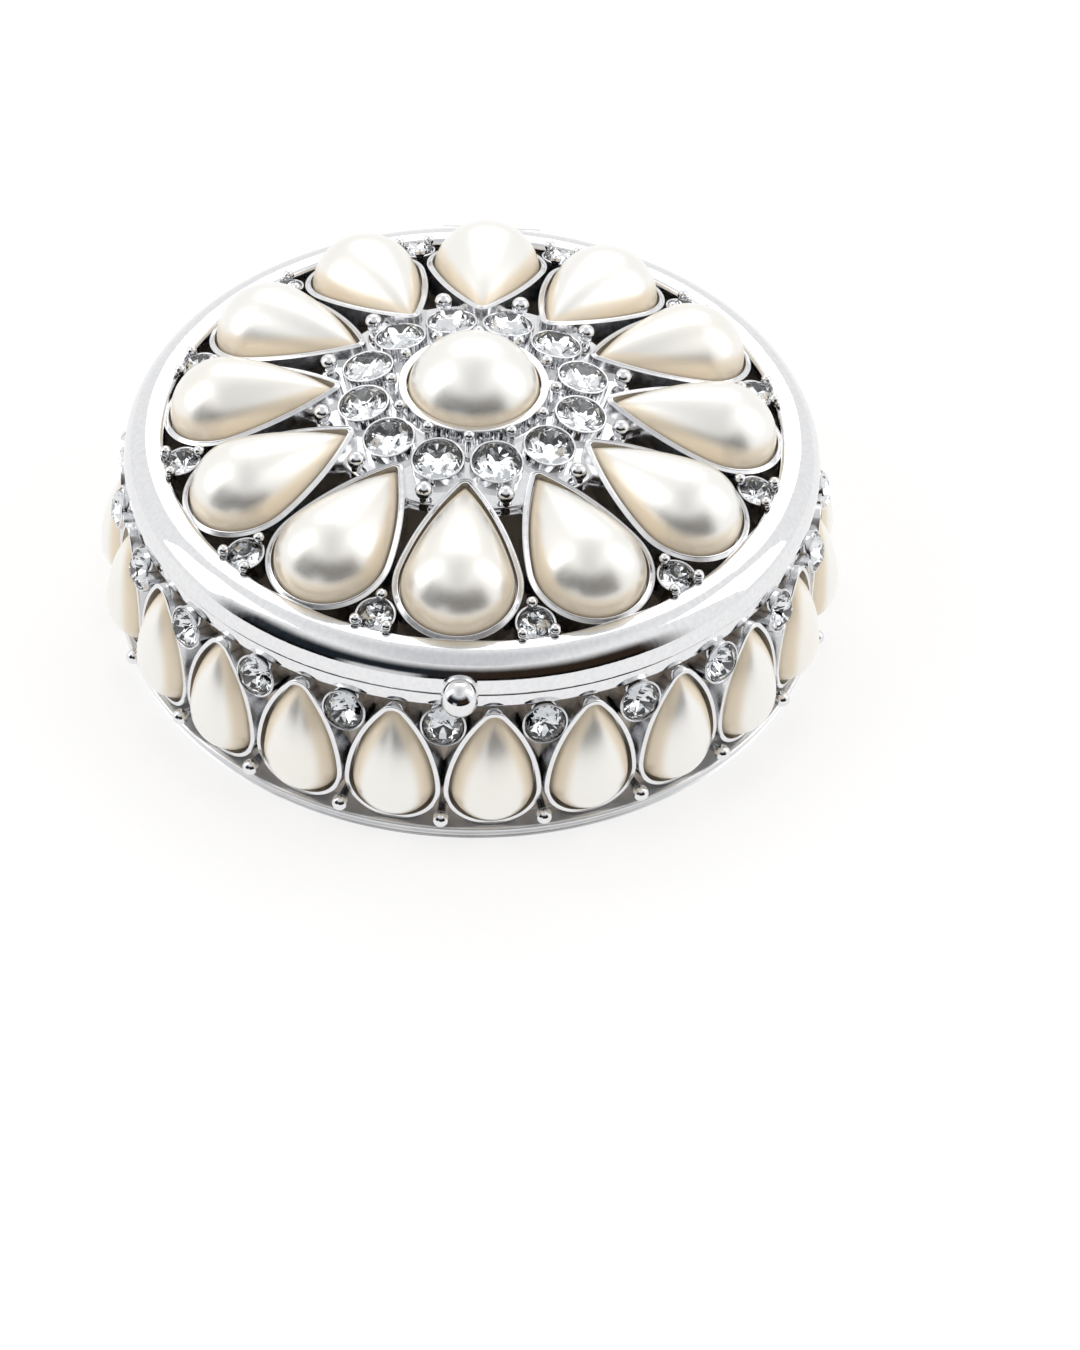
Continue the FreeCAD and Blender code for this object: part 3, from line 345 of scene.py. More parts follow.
class Shell:
    """Points and faces of one piece, built up ring by ring."""

    def __init__(self):
        self.points = []
        self.faces = []
        self.slots = []
        # Painted shade per point, by index: how much of the cream edge colour a pearl gets.
        self.edges = {}

    def ring(self, points):
        start = len(self.points)
        self.points.extend(Vector(point) for point in points)
        return list(range(start, len(self.points)))

    def face(self, corners, slot=0):
        self.faces.append(tuple(corners))
        self.slots.append(slot)

    def band(self, first, second, slot=0):
        """Faces between two closed rings, either of which may be a single pole."""
        count = max(len(first), len(second))
        for here in range(count):
            after = (here + 1) % count
            corners = [first[here % len(first)], first[after % len(first)],
                       second[after % len(second)], second[here % len(second)]]
            self.face(dict.fromkeys(corners), slot)

    def rings(self, rings, slots=(), closed=False):
        pairs = list(zip(rings, rings[1:])) + ([(rings[-1], rings[0])] if closed else [])
        for number, (first, second) in enumerate(pairs):
            self.band(first, second, slots[number] if slots else 0)

    def lathe(self, profile, segments, place=None, slots=(), closed=False):
        """Turned shape from (radius, height) points about local z."""
        rings = []
        for radius, height in profile:
            count = segments if radius > 0 else 1
            points = [Vector((radius * math.cos(step * math.tau / count),
                              radius * math.sin(step * math.tau / count), height))
                      for step in range(count)]
            rings.append(self.ring([place @ point for point in points] if place else points))
        self.rings(rings, slots, closed)
        return rings

    def build(self, name, materials, bend=None):
        """Mesh object at the origin with outward normals and smooth faces."""
        points = [bend(point) for point in self.points] if bend else self.points
        mesh = bpy.data.meshes.new(name)
        mesh.from_pydata(points, [], self.faces)
        for polygon, slot in zip(mesh.polygons, self.slots):
            polygon.material_index = slot
        work = bmesh.new()
        work.from_mesh(mesh)
        bmesh.ops.recalc_face_normals(work, faces=work.faces)
        work.to_mesh(mesh)
        work.free()
        mesh.shade_smooth()
        mesh.set_sharp_from_angle(angle=math.radians(SHARP_DEGREES))
        # Painted shade at the edge of a pearl, kept per point for its material.
        if self.edges:
            shade = mesh.attributes.new("painted_edge_shade", "FLOAT", "POINT")
            for index, amount in self.edges.items():
                shade.data[index].value = amount
        for paint in materials:
            mesh.materials.append(paint)
        return add_object(name, mesh)


def rounded(corners, steps=6):
    """Closed outline of (x, y, radius) corners with true arcs at the rounded ones."""
    outline = []
    for index, (x, y, radius) in enumerate(corners):
        here = Vector((x, y))
        if radius == 0:
            outline.append((x, y))
            continue
        before = (Vector(corners[index - 1][:2]) - here).normalized()
        after = (Vector(corners[(index + 1) % len(corners)][:2]) - here).normalized()
        half = before.angle(after) / 2
        centre = here + (before + after).normalized() * radius / math.sin(half)
        spoke = here + before * radius / math.tan(half) - centre
        swing = math.pi - 2 * half
        if spoke.x * after.y - spoke.y * after.x < 0:
            swing = -swing
        for step in range(steps + 1):
            part = swing * step / steps
            outline.append((centre.x + spoke.x * math.cos(part) - spoke.y * math.sin(part),
                            centre.y + spoke.x * math.sin(part) + spoke.y * math.cos(part)))
    return outline


def seat(distance, height, rise):
    """Place at the front of the box: y towards a drop's tip, z out of the surface."""
    out = Vector((0, -1, 0))
    normal = out * math.cos(rise) + UP * math.sin(rise)
    tip = UP * math.cos(rise) - out * math.sin(rise)
    spin = Matrix((tip.cross(normal), tip, normal)).transposed().to_4x4()
    return Matrix.Translation(out * distance + UP * height) @ spin


ROUND_STEPS = 22
FLANK_STEPS = 20
TIP_STEPS = 8
DOME_STEPS = 36
BAND_SOFT = 0.8


def arc(middle, radius, start, end, steps):
    """Points along an arc, without its last one."""
    turns = [start + (end - start) * step / steps for step in range(steps)]
    return [(middle[0] + radius * math.cos(turn), middle[1] + radius * math.sin(turn))
            for turn in turns]


def half_drop(width, tall, flank_share, tip_round, offset):
    """Right half of a drop from its round end to its tip, set outward by offset."""
    half = width / 2
    reach = tall - half
    flank = flank_share * (half ** 2 + reach ** 2) / (2 * half)
    tip = reach - tip_round
    along = (tip ** 2 + (flank - half) ** 2 - (flank - tip_round) ** 2) / (2 * tip)
    across = -math.sqrt((flank - half) ** 2 - along ** 2)
    shoulder = math.atan2(-along, -across)
    top = math.atan2(tip - along, -across)
    points = arc((0, 0), half + offset, -math.pi / 2, shoulder, ROUND_STEPS)
    points += arc((across, along), flank + offset, shoulder, top, FLANK_STEPS)
    points += arc((0, tip), tip_round + offset, top, math.pi / 2, TIP_STEPS)
    points[0] = (0.0, points[0][1])
    return points + [(0.0, reach + offset)]


def drop_ring(drop, offset, height, place):
    """Whole drop outline at one height, round end first."""
    right = half_drop(*drop, offset)
    left = [(-x, y) for x, y in right[-2:0:-1]]
    return [place @ Vector((x, y, height)) for x, y in right + left]


def drop_bezel(drop, sizes, place):
    """Bezel with a softly rounded lip round a drop-shaped seat."""
    shell = Shell()
    outside = GLUE + sizes.wall
    lip = rounded(((outside, -sizes.depth, 0), (outside, 0, LIP), (GLUE, 0, LIP),
                   (GLUE, -sizes.seat, 0)), LIP_STEPS)
    rings = [shell.ring(drop_ring(drop, offset, height, place)) for offset, height in lip]
    shell.rings(rings)
    shell.face(rings[0])
    shell.face(rings[-1])
    return shell


def ease(amount, start, end):
    """Smooth step from 0 at the start to 1 at the end."""
    part = min(1.0, max(0.0, (amount - start) / (end - start)))
    return part * part * (3 - 2 * part)


def painted_shade_at_edge(inset, band):
    """How much painted shade the edge of a pearl gets: full at its edge, none inside the band."""
    return 1.0 - ease(inset / band, 1 - BAND_SOFT / 2, 1 + BAND_SOFT / 2)


def drop_pearl(drop, sizes, place):
    """Flat-backed drop: half of a drop turned about its length, on a thin straight edge."""
    shell = Shell()
    low = sizes.edge - sizes.seat
    rise = sizes.dome / (drop[0] / 2)
    rows = []
    outline = half_drop(*drop, 0.0)
    for x, y in outline:
        turns = [math.pi * step / DOME_STEPS for step in range(DOME_STEPS + 1)] if x else [0.0]
        rows.append(shell.ring([place @ Vector((x * math.cos(turn), y, low + x * rise * math.sin(turn)))
                                for turn in turns]))
        # Painted shade: each point's share of the cream edge colour, by its distance in from the
        # outline.
        for turn, index in zip(turns, rows[-1]):
            across = abs(x * math.cos(turn))
            inset = min(math.hypot(across - edge_x, y - edge_y) for edge_x, edge_y in outline)
            shell.edges[index] = painted_shade_at_edge(inset, sizes.band)
    for first, second in zip(rows, rows[1:]):
        for step in range(DOME_STEPS):
            corners = [first[min(step, len(first) - 1)], first[min(step + 1, len(first) - 1)],
                       second[min(step + 1, len(second) - 1)], second[min(step, len(second) - 1)]]
            shell.face(dict.fromkeys(corners))
    foot = [row[0] for row in rows] + [row[-1] for row in rows[-2:0:-1]]
    back = shell.ring(drop_ring(drop, 0.0, -sizes.seat, place))
    shell.band(foot, back)
    shell.face(back)
    # The flat back gets the full painted edge shade.
    for index in back:
        shell.edges[index] = 1.0
    return shell


STONE_SIDES = 8
CROWN_SHARE = 0.2           # heights of a stone, as shares of its diameter
PAVILION_SHARE = 0.28
TABLE_REACH = 0.52          # corners of a stone, as shares of its radius
CROWN_REACH = 0.80
PAVILION_REACH = 0.45
CROWN_BREAK = 0.62          # as shares of the crown or the pavilion
PAVILION_BREAK = 0.62
GIRDLE_HALF = 0.08
MERGE_DEGREES = 0.5
BACK_FACING = -0.1
CUP_SEGMENTS = 48
CUP_LIP_SHARE = 0.4


def stone_points(diameter):
    """Corners of a chaton: table, crown break, girdle, pavilion break and point."""
    radius = diameter / 2
    crown = diameter * CROWN_SHARE
    point = diameter * PAVILION_SHARE
    girdle = GIRDLE_HALF * crown
    levels = ((TABLE_REACH, crown, 0.5), (CROWN_REACH, crown * CROWN_BREAK, 0.0),
              (1.0, girdle, 0.25), (1.0, girdle, 0.75), (1.0, -girdle, 0.25), (1.0, -girdle, 0.75),
              (PAVILION_REACH, -point * PAVILION_BREAK, 0.5))
    corners = [Vector((0, 0, -point - SINK))]
    for reach, height, phase in levels:
        for side in range(STONE_SIDES):
            turn = math.tau * (side + phase) / STONE_SIDES
            corners.append(Vector((radius * reach * math.cos(turn), radius * reach * math.sin(turn),
                                   height - SINK)))
    return corners


def stone(name, diameter, place, glass, silver):
    """Faceted chaton, flat on every facet, with a silvered back."""
    work = bmesh.new()
    for corner in stone_points(diameter):
        work.verts.new(place @ corner)
    made = bmesh.ops.convex_hull(work, input=work.verts)
    loose = [item for item in made["geom_interior"] if isinstance(item, bmesh.types.BMVert)]
    bmesh.ops.delete(work, geom=loose, context="VERTS")
    bmesh.ops.dissolve_limit(work, angle_limit=math.radians(MERGE_DEGREES), verts=work.verts,
                             edges=work.edges)
    bmesh.ops.recalc_face_normals(work, faces=work.faces)
    mesh = bpy.data.meshes.new(name)
    work.to_mesh(mesh)
    work.free()
    mesh.materials.append(glass)
    mesh.materials.append(silver)
    facing = place.to_3x3() @ UP
    for facet in mesh.polygons:
        facet.material_index = 1 if facet.normal.dot(facing) < BACK_FACING else 0
    return add_object(name, mesh)


def stone_cup(diameter, wall, depth, place):
    """Round cup with a soft lip and a seat that follows the stone."""
    shell = Shell()
    room = diameter / 2 + GLUE
    outside = room + wall
    soft = min(LIP, wall * CUP_LIP_SHARE)
    point = diameter * PAVILION_SHARE + SINK + GLUE
    profile = rounded(((outside, -depth, 0), (outside, 0, soft), (room, 0, soft), (room, -SINK, 0)),
                      CUP_LIP_STEPS)
    profile.append((PAVILION_REACH * room, -SINK - GLUE - PAVILION_BREAK * (point - SINK - GLUE)))
    rings = shell.lathe(profile + [(0, -point)], CUP_SEGMENTS, place)
    shell.face(rings[0])
    return shell


GRAIN_SEGMENTS = 24
GRAIN_STEPS = 14
BAR_SEGMENTS = 40


def grain(shell, diameter, stem, place, stem_share=0.6):
    """Ball on a thinner stem that runs back along its own -z."""
    radius = diameter / 2
    start = math.asin(stem_share)
    profile = [(0, -stem), (radius * stem_share, -stem)]
    for step in range(GRAIN_STEPS):
        turn = math.pi - start - (math.pi - start) * step / GRAIN_STEPS
        profile.append((radius * math.sin(turn), radius * math.cos(turn)))
    shell.lathe(profile + [(0, radius)], GRAIN_SEGMENTS, place)
    return shell


def bar(shell, radius, bore, start, end, place):
    """Tube with softened ends along local z."""
    outline = rounded(((bore, start, 0), (radius, start, LIP), (radius, end, LIP), (bore, end, 0)),
                      CUP_LIP_STEPS)
    shell.lathe(outline, BAR_SEGMENTS, place, closed=True)


def block(shell, low, high):
    """Plain box from corner to corner."""
    flat = ((low[0], low[1]), (high[0], low[1]), (high[0], high[1]), (low[0], high[1]))
    ring = shell.ring([Vector((x, y, z)) for z in (low[2], high[2]) for x, y in flat])
    shell.face(ring[:4])
    shell.face(ring[4:])
    shell.band(ring[:4], ring[4:])


def hinge_axis(place):
    """Place of the hinge, with z along its pin."""
    return (Matrix.Translation((0, place.hinge_y, place.hinge_z))
            @ Euler((0, math.pi / 2, 0)).to_matrix().to_4x4())


# Node helpers, materials and the ring tree

def node(tree, kind, links=None, **settings):
    """Adds a node, sets its options, then its inputs from values or other sockets."""
    made = tree.nodes.new(kind)
    for name, setting in settings.items():
        setattr(made, name, setting)
    for socket, source in (links or {}).items():
        if isinstance(source, bpy.types.NodeSocket):
            tree.links.new(source, made.inputs[socket])
        else:
            made.inputs[socket].default_value = source
    return made


def new_material(name):
    """Empty material and its node tree."""
    paint = bpy.data.materials.new(name)
    paint.use_nodes = True
    paint.node_tree.nodes.clear()
    return paint, paint.node_tree


def finish(tree, shader):
    node(tree, "ShaderNodeOutputMaterial", {"Surface": shader})


def noise(tree, width, detail, place=None):
    """Cloudy pattern with features about this many millimetres wide."""
    if place is None:
        place = node(tree, "ShaderNodeTexCoord").outputs["Object"]
    return node(tree, "ShaderNodeTexNoise", {"Vector": place, "Scale": 1.0 / (width * MM),
                                             "Detail": detail}).outputs["Fac"]


def mixed(tree, part, first, second):
    """Colour between two others."""
    return node(tree, "ShaderNodeMix", {"Factor": part, "A": first, "B": second},
                data_type="RGBA").outputs["Result"]


def spread(tree, value, low, high, start=0.3, end=0.7):
    """Amount that runs from low to high as the value goes from start to end."""
    return node(tree, "ShaderNodeMapRange", {"Value": value, "From Min": start, "From Max": end,
                                             "To Min": low, "To Max": high}).outputs["Result"]


def bump(tree, height, strength, depth, under=None):
    """Normal of a relief this many millimetres deep, on top of another one if given."""
    links = {"Height": height, "Strength": strength, "Distance": depth * MM}
    if under is not None:
        links["Normal"] = under
    return node(tree, "ShaderNodeBump", links).outputs["Normal"]


def surface(paint, inputs):
    """Ends a material in one principled surface."""
    shader = node(paint.node_tree, "ShaderNodeBsdfPrincipled", inputs)
    finish(paint.node_tree, shader.outputs["BSDF"])
    return paint


def polished_plate(colours):
    """Silver plate, polished by tumbling: a mirror with the slow waves of the casting."""
    paint, tree = new_material("polished_silver_plate")
    waves = noise(tree, width=4.0, detail=1.0)
    grit = noise(tree, width=0.5, detail=3.0)
    swell = bump(tree, waves, strength=0.10, depth=0.4)
    return surface(paint, {"Base Color": mixed(tree, grit, colours.plate_shade, colours.plate),
                           "Roughness": spread(tree, grit, low=0.03, high=0.10, end=0.75),
                           "Normal": bump(tree, grit, strength=0.03, depth=0.1, under=swell),
                           "Metallic": 1.0})


def tumbled_plate(colours):
    """Silver plate straight from the tumbling barrel: bright but blurred, so lips look white."""
    paint, tree = new_material("tumbled_silver_plate")
    peel = noise(tree, width=0.6, detail=3.0)
    return surface(paint, {"Base Color": mixed(tree, peel, colours.plate_shade, colours.plate),
                           "Roughness": spread(tree, peel, low=0.12, high=0.22),
                           "Normal": bump(tree, peel, strength=0.06, depth=0.12),
                           "Metallic": 1.0})


def cast_plate(name, tones, metal, blur):
    """Plate over the raw casting: a grainy surface with darker patches."""
    paint, tree = new_material(name)
    sand = noise(tree, width=0.22, detail=4.0)
    patch = noise(tree, width=3.0, detail=2.0)
    return surface(paint, {"Base Color": mixed(tree, patch, *tones),
                           "Roughness": spread(tree, sand, *blur),
                           "Normal": bump(tree, sand, strength=0.25, depth=0.08),
                           "Metallic": metal})


def satin_plate(colours):
    """Silver plate over the raw casting: a soft grainy satin with darker hollows."""
    return cast_plate("satin_cast_plate", (colours.satin_shade, colours.satin), metal=0.5,
                      blur=(0.42, 0.58))


def foot_plate(colours):
    """The same plate sanded flat on the foot band: bright, but too grainy to mirror."""
    return cast_plate("sanded_foot_plate", (colours.plate_shade, colours.plate), metal=0.85,
                      blur=(0.32, 0.42))


def lining_plate(colours):
    """Thin warm plate on the floor of the cup, rubbed in long faint streaks."""
    paint, tree = new_material("rubbed_lining_plate")
    place = node(tree, "ShaderNodeTexCoord").outputs["Object"]
    stretch = node(tree, "ShaderNodeMapping", {"Vector": place, "Scale": (1.0, 0.12, 1.0),
                                               "Rotation": (0.0, 0.0, math.radians(-35))})
    streak = noise(tree, width=1.6, detail=4.0, place=stretch.outputs["Vector"])
    return surface(paint, {"Base Color": mixed(tree, streak, colours.lining_streak, colours.lining),
                           "Roughness": spread(tree, streak, low=0.28, high=0.36),
                           "Normal": bump(tree, streak, strength=0.07, depth=0.1),
                           "Metallic": 0.1})


def pearl_lacquer(colours):
    """Imitation pearl: mica lacquer on a cream bead, so a soft metal glow under clear gloss; the cream
    towards its edge is painted shade.
    """
    paint, tree = new_material("pearl_lacquer")
    cloud = noise(tree, width=5.0, detail=2.0)
    mica = noise(tree, width=0.4, detail=2.0)
    # Painted shade: towards a pearl's edge the colour turns cream and the metal falls, standing in for
    # the shade where the dome turns steeply away from the lamps.
    thin = node(tree, "ShaderNodeAttribute", attribute_name="painted_edge_shade").outputs["Fac"]
    warm = node(tree, "ShaderNodeAttribute", attribute_name="tone").outputs["Fac"]
    warmth = node(tree, "ShaderNodeMath", {0: cloud, 1: warm}, operation="MULTIPLY")
    dome = mixed(tree, warmth.outputs["Value"], colours.pearl, colours.pearl_shade)
    return surface(paint, {"Base Color": mixed(tree, thin, dome, colours.pearl_edge),
                           "Metallic": spread(tree, thin, low=0.75, high=0.12, start=0.0, end=1.0),
                           "Roughness": spread(tree, mica, low=0.285, high=0.33),
                           "Coat Weight": 0.35, "Coat Roughness": 0.12, "Coat IOR": 1.5, "IOR": 1.55})


def lead_glass(colours):
    """Cut lead glass: clear and hard-edged, with a faint bloom on its facets."""
    paint, tree = new_material("cut_lead_glass")
    bloom = noise(tree, width=0.8, detail=2.0)
    return surface(paint, {"Base Color": colours.stone, "IOR": 1.6, "Transmission Weight": 1.0,
                           "Roughness": spread(tree, bloom, low=0.0, high=0.03, start=0.4, end=0.8)})


def silvered_back(colours):
    """Silver foil on the back facets of a stone: a hard mirror, slightly mottled by its lacquer."""
    paint, tree = new_material("silver_foil")
    mottle = noise(tree, width=0.7, detail=2.0)
    return surface(paint, {"Base Color": mixed(tree, mottle, colours.foil, colours.plate),
                           "Roughness": spread(tree, mottle, low=0.01, high=0.04),
                           "Metallic": 1.0})


def ferrite(colours):
    """Pressed ferrite disc: dull grey brown with darker grains."""
    paint, tree = new_material("pressed_ferrite")
    speck = noise(tree, width=0.3, detail=4.0)
    return surface(paint, {"Base Color": mixed(tree, speck, colours.magnet_speck, colours.magnet),
                           "Normal": bump(tree, speck, strength=0.3, depth=0.05),
                           "Roughness": 0.42, "Metallic": 0.5})


MATERIALS = {"plate": polished_plate, "tumbled": tumbled_plate, "satin": satin_plate, "foot": foot_plate,
             "lining": lining_plate, "pearl": pearl_lacquer, "glass": lead_glass,
             "silver": silvered_back, "ferrite": ferrite}
MATERIAL_NAMES = {}
RING_TREE = "copies_round_the_box"
TONE_SEED = 7


def material(context, name):
    """Material by its short name, made the first time it is asked for."""
    made = bpy.data.materials.get(MATERIAL_NAMES.get(name, ""))
    if made is None:
        made = MATERIALS[name](context.scene.trinket_box.finish)
        MATERIAL_NAMES[name] = made.name
    return made


def ring_tree():
    """Geometry Nodes tree that turns copies of a piece round the upright axis."""
    tree = bpy.data.node_groups.get(RING_TREE)
    if tree:
        return tree
    tree = bpy.data.node_groups.new(RING_TREE, "GeometryNodeTree")
    for name, kind in (("Geometry", "Geometry"), ("Count", "Int"), ("Start", "Float"),
                       ("Material", "Material"), ("Backing", "Material")):
        tree.interface.new_socket(name, in_out="INPUT", socket_type="NodeSocket" + kind)
    tree.interface.new_socket("Geometry", in_out="OUTPUT", socket_type="NodeSocketGeometry")
    given = node(tree, "NodeGroupInput").outputs
    points = node(tree, "GeometryNodePoints", {"Count": given["Count"]})
    index = node(tree, "GeometryNodeInputIndex")
    part = node(tree, "ShaderNodeMath", {0: index.outputs["Index"], 1: given["Count"]},
                operation="DIVIDE")
    turn = node(tree, "ShaderNodeMath", {0: part.outputs["Value"], 1: math.tau, 2: given["Start"]},
                operation="MULTIPLY_ADD")
    spin = node(tree, "ShaderNodeCombineXYZ", {"Z": turn.outputs["Value"]})
    rotation = node(tree, "FunctionNodeEulerToRotation", {"Euler": spin.outputs["Vector"]})
    copies = node(tree, "GeometryNodeInstanceOnPoints",
                  {"Points": points.outputs["Points"], "Instance": given["Geometry"],
                   "Rotation": rotation.outputs["Rotation"]})
    chance = node(tree, "FunctionNodeRandomValue", {"Seed": TONE_SEED}, data_type="FLOAT")
    tone = node(tree, "GeometryNodeStoreNamedAttribute",
                {"Geometry": copies.outputs["Instances"], "Name": "tone",
                 "Value": chance.outputs[1]}, data_type="FLOAT", domain="INSTANCE")
    solid = node(tree, "GeometryNodeRealizeInstances", {"Geometry": tone.outputs["Geometry"]})
    slot = node(tree, "GeometryNodeInputMaterialIndex")
    second = node(tree, "FunctionNodeCompare", {"A": slot.outputs["Material Index"], "B": 1},
                  data_type="INT", operation="EQUAL")
    kept = node(tree, "GeometryNodeStoreNamedAttribute",
                {"Geometry": solid.outputs["Geometry"], "Name": "backing",
                 "Value": second.outputs["Result"]}, data_type="BOOLEAN", domain="FACE")
    painted = node(tree, "GeometryNodeSetMaterial",
                   {"Geometry": kept.outputs["Geometry"], "Material": given["Material"]})
    back = node(tree, "GeometryNodeInputNamedAttribute", {"Name": "backing"}, data_type="BOOLEAN")
    backed = node(tree, "GeometryNodeSetMaterial",
                  {"Geometry": painted.outputs["Geometry"], "Selection": back.outputs["Attribute"],
                   "Material": given["Backing"]})
    node(tree, "NodeGroupOutput", {"Geometry": backed.outputs["Geometry"]})
    return tree


def ring_of(piece, count, start, paint, backing=None):
    """Turns a piece into a plain mesh of copies round the box; its second slot is the backing."""
    tree = ring_tree()
    sockets = {item.name: item.identifier for item in tree.interface.items_tree
               if item.in_out == "INPUT"}
    modifier = piece.modifiers.new("ring", "NODES")
    modifier.node_group = tree
    for name, value in (("Count", count), ("Start", start), ("Material", paint),
                        ("Backing", backing or paint)):
        modifier[sockets[name]] = value
    bpy.context.view_layer.update()
    made = piece.evaluated_get(bpy.context.evaluated_depsgraph_get())
    mesh = bpy.data.meshes.new_from_object(made)
    piece.modifiers.remove(modifier)
    old = piece.data
    piece.data = mesh
    bpy.data.meshes.remove(old)
    mesh.name = piece.name
    return piece


def settle(piece, body, slot, *nodes):
    """Hands a finished piece to its body in place of the solids it stands for."""
    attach(piece, body)
    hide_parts(*nodes)


def settle_ring(name, shell, ring, paint, body, slot, *nodes):
    """Builds a shell, copies it round the box and hands it over; ring is its count and start."""
    settle(ring_of(shell.build(name, [paint]), *ring, paint), body, slot, *nodes)


def settle_stones(name, diameter, place, ring, paint, body, solid):
    """Stones with silvered backs round the box."""
    glass, silver = paint("glass"), paint("silver")
    stones = stone(name, diameter, place, glass, silver)
    settle(ring_of(stones, *ring, glass, silver), body, CRYSTAL, solid)


def numbered(label, count):
    return ["%s_%02d" % (label, number) for number in range(1, count + 1)]


# Operators, one for each piece or group of like pieces

LATHE_SEGMENTS = 288
HUB_SEGMENTS = 144
MAGNET_SEGMENTS = 96
RIM_STEPS = 16
SATIN_SLOT = 1
LINING_SLOT = 2
FOOT_SLOT = 3
CLAW_TURNS = (0.0, 128.0, -128.0)


class BuildStep:
    """Gives each step the sizes, the places that follow from them and the materials."""

    def execute(self, context):
        box = context.scene.trinket_box
        self.make(box, layout(box), lambda name: material(context, name))
        return {"FINISHED"}


class TRINKET_OT_cup(BuildStep, bpy.types.Operator):
    """Cup with its foot band, recessed wall, flange and outer hinge knuckles"""
    bl_idname = "trinket.cup"
    bl_label = "Cup"

    def make(self, box, place, paint):
        cup, hinge = box.cup, box.hinge
        under = cup.height - cup.flange_height
        outline = rounded(((place.foot, 0, cup.edge), (place.foot, cup.foot_height, cup.edge),
                           (place.ground_foot, cup.foot_height, cup.edge / 2),
                           (place.ground_top, under, cup.edge / 2), (place.flange, under, cup.edge),
                           (place.flange, cup.height, cup.edge),
                           (cup.inner_radius, cup.height, cup.edge),
                           (cup.inner_radius, cup.floor, cup.cove)))
        profile = [(0, 0)] + outline + [(0, cup.floor)]
        slots = []
        for (radius, height), (after, above) in zip(profile, profile[1:]):
            middle = (height + above) / 2
            inside = (min(radius, after) <= cup.inner_radius + cup.edge * 0.1
                      and middle > cup.floor * 0.5)
            if inside:
                slots.append(LINING_SLOT if middle < cup.floor + cup.cove else 0)
            elif middle < cup.foot_height + cup.edge / 4:
                slots.append(FOOT_SLOT)
            else:
                slots.append(SATIN_SLOT if middle < under else 0)
        shell = Shell()
        shell.lathe(profile, LATHE_SEGMENTS, slots=slots)
        inner = hinge.middle / 2 + hinge.gap
        for side in (-1, 1):
            ends = sorted((side * inner, side * hinge.width / 2))
            bar(shell, hinge.knuckle / 2, hinge.bore / 2, *ends, hinge_axis(place))
            block(shell, (ends[0], place.hinge_y - hinge.leaf_reach, cup.height - hinge.leaf),
                  (ends[1], place.hinge_y, cup.height))
        paints = [paint(name) for name in ("plate", "satin", "lining", "foot")]
        settle(shell.build("cup", paints), BASE, METAL, "base_cup")


class TRINKET_OT_side_pearls(BuildStep, bpy.types.Operator):
    """Drop pearls round the side in their bezels"""
    bl_idname = "trinket.side_pearls"
    bl_label = "Side pearls"

    def make(self, box, place, paint):
        side = box.side
        drop = (place.side_width, place.side_length, side.flank_share, side.tip_round)
        where = seat(place.side_distance, place.side_height, side.lean)
        ring = (side.count, side.turn + math.pi / side.count)
        settle_ring("side_bezels", drop_bezel(drop, side, where), ring, paint("tumbled"), BASE, METAL,
                    "side_pearl_bezels")
        settle_ring("side_pearls", drop_pearl(drop, side, where), ring, paint("pearl"), BASE, PEARL,
                    *numbered("side_pearl", side.count))


class TRINKET_OT_side_stones(BuildStep, bpy.types.Operator):
    """Round stones between the pearl tips, and grains between the pearls at the foot"""
    bl_idname = "trinket.side_stones"
    bl_label = "Side stones"

    def make(self, box, place, paint):
        cup, side = box.cup, box.side
        ring = (side.count, side.turn)
        where = seat(place.ground_top + side.stone_stand, cup.height - side.stone_drop, side.stone_tilt)
        settle_ring("side_stone_cups", stone_cup(side.stone, side.stone_wall, side.stone_depth, where),
                    ring, paint("plate"), BASE, METAL, "side_crystal_cups")
        settle_stones("side_stones", side.stone, where, ring, paint, BASE, "side_crystals")
        reach = place.foot + side.grain_reach
        where = seat(reach, cup.foot_height + side.grain_lift, side.lean)
        settle_ring("side_grains", grain(Shell(), side.grain, reach - place.ground_top, where), ring,
                    paint("plate"), BASE, METAL, "side_beads")


def disc(radius, low, high, where):
    """Magnet with softened edges."""
    shell = Shell()
    edge = rounded(((radius, low, LIP), (radius, high, LIP), (0, high, 0), (0, low, 0)))[:-2]
    shell.lathe([(0, low)] + edge + [(0, high)], MAGNET_SEGMENTS, where)
    return shell


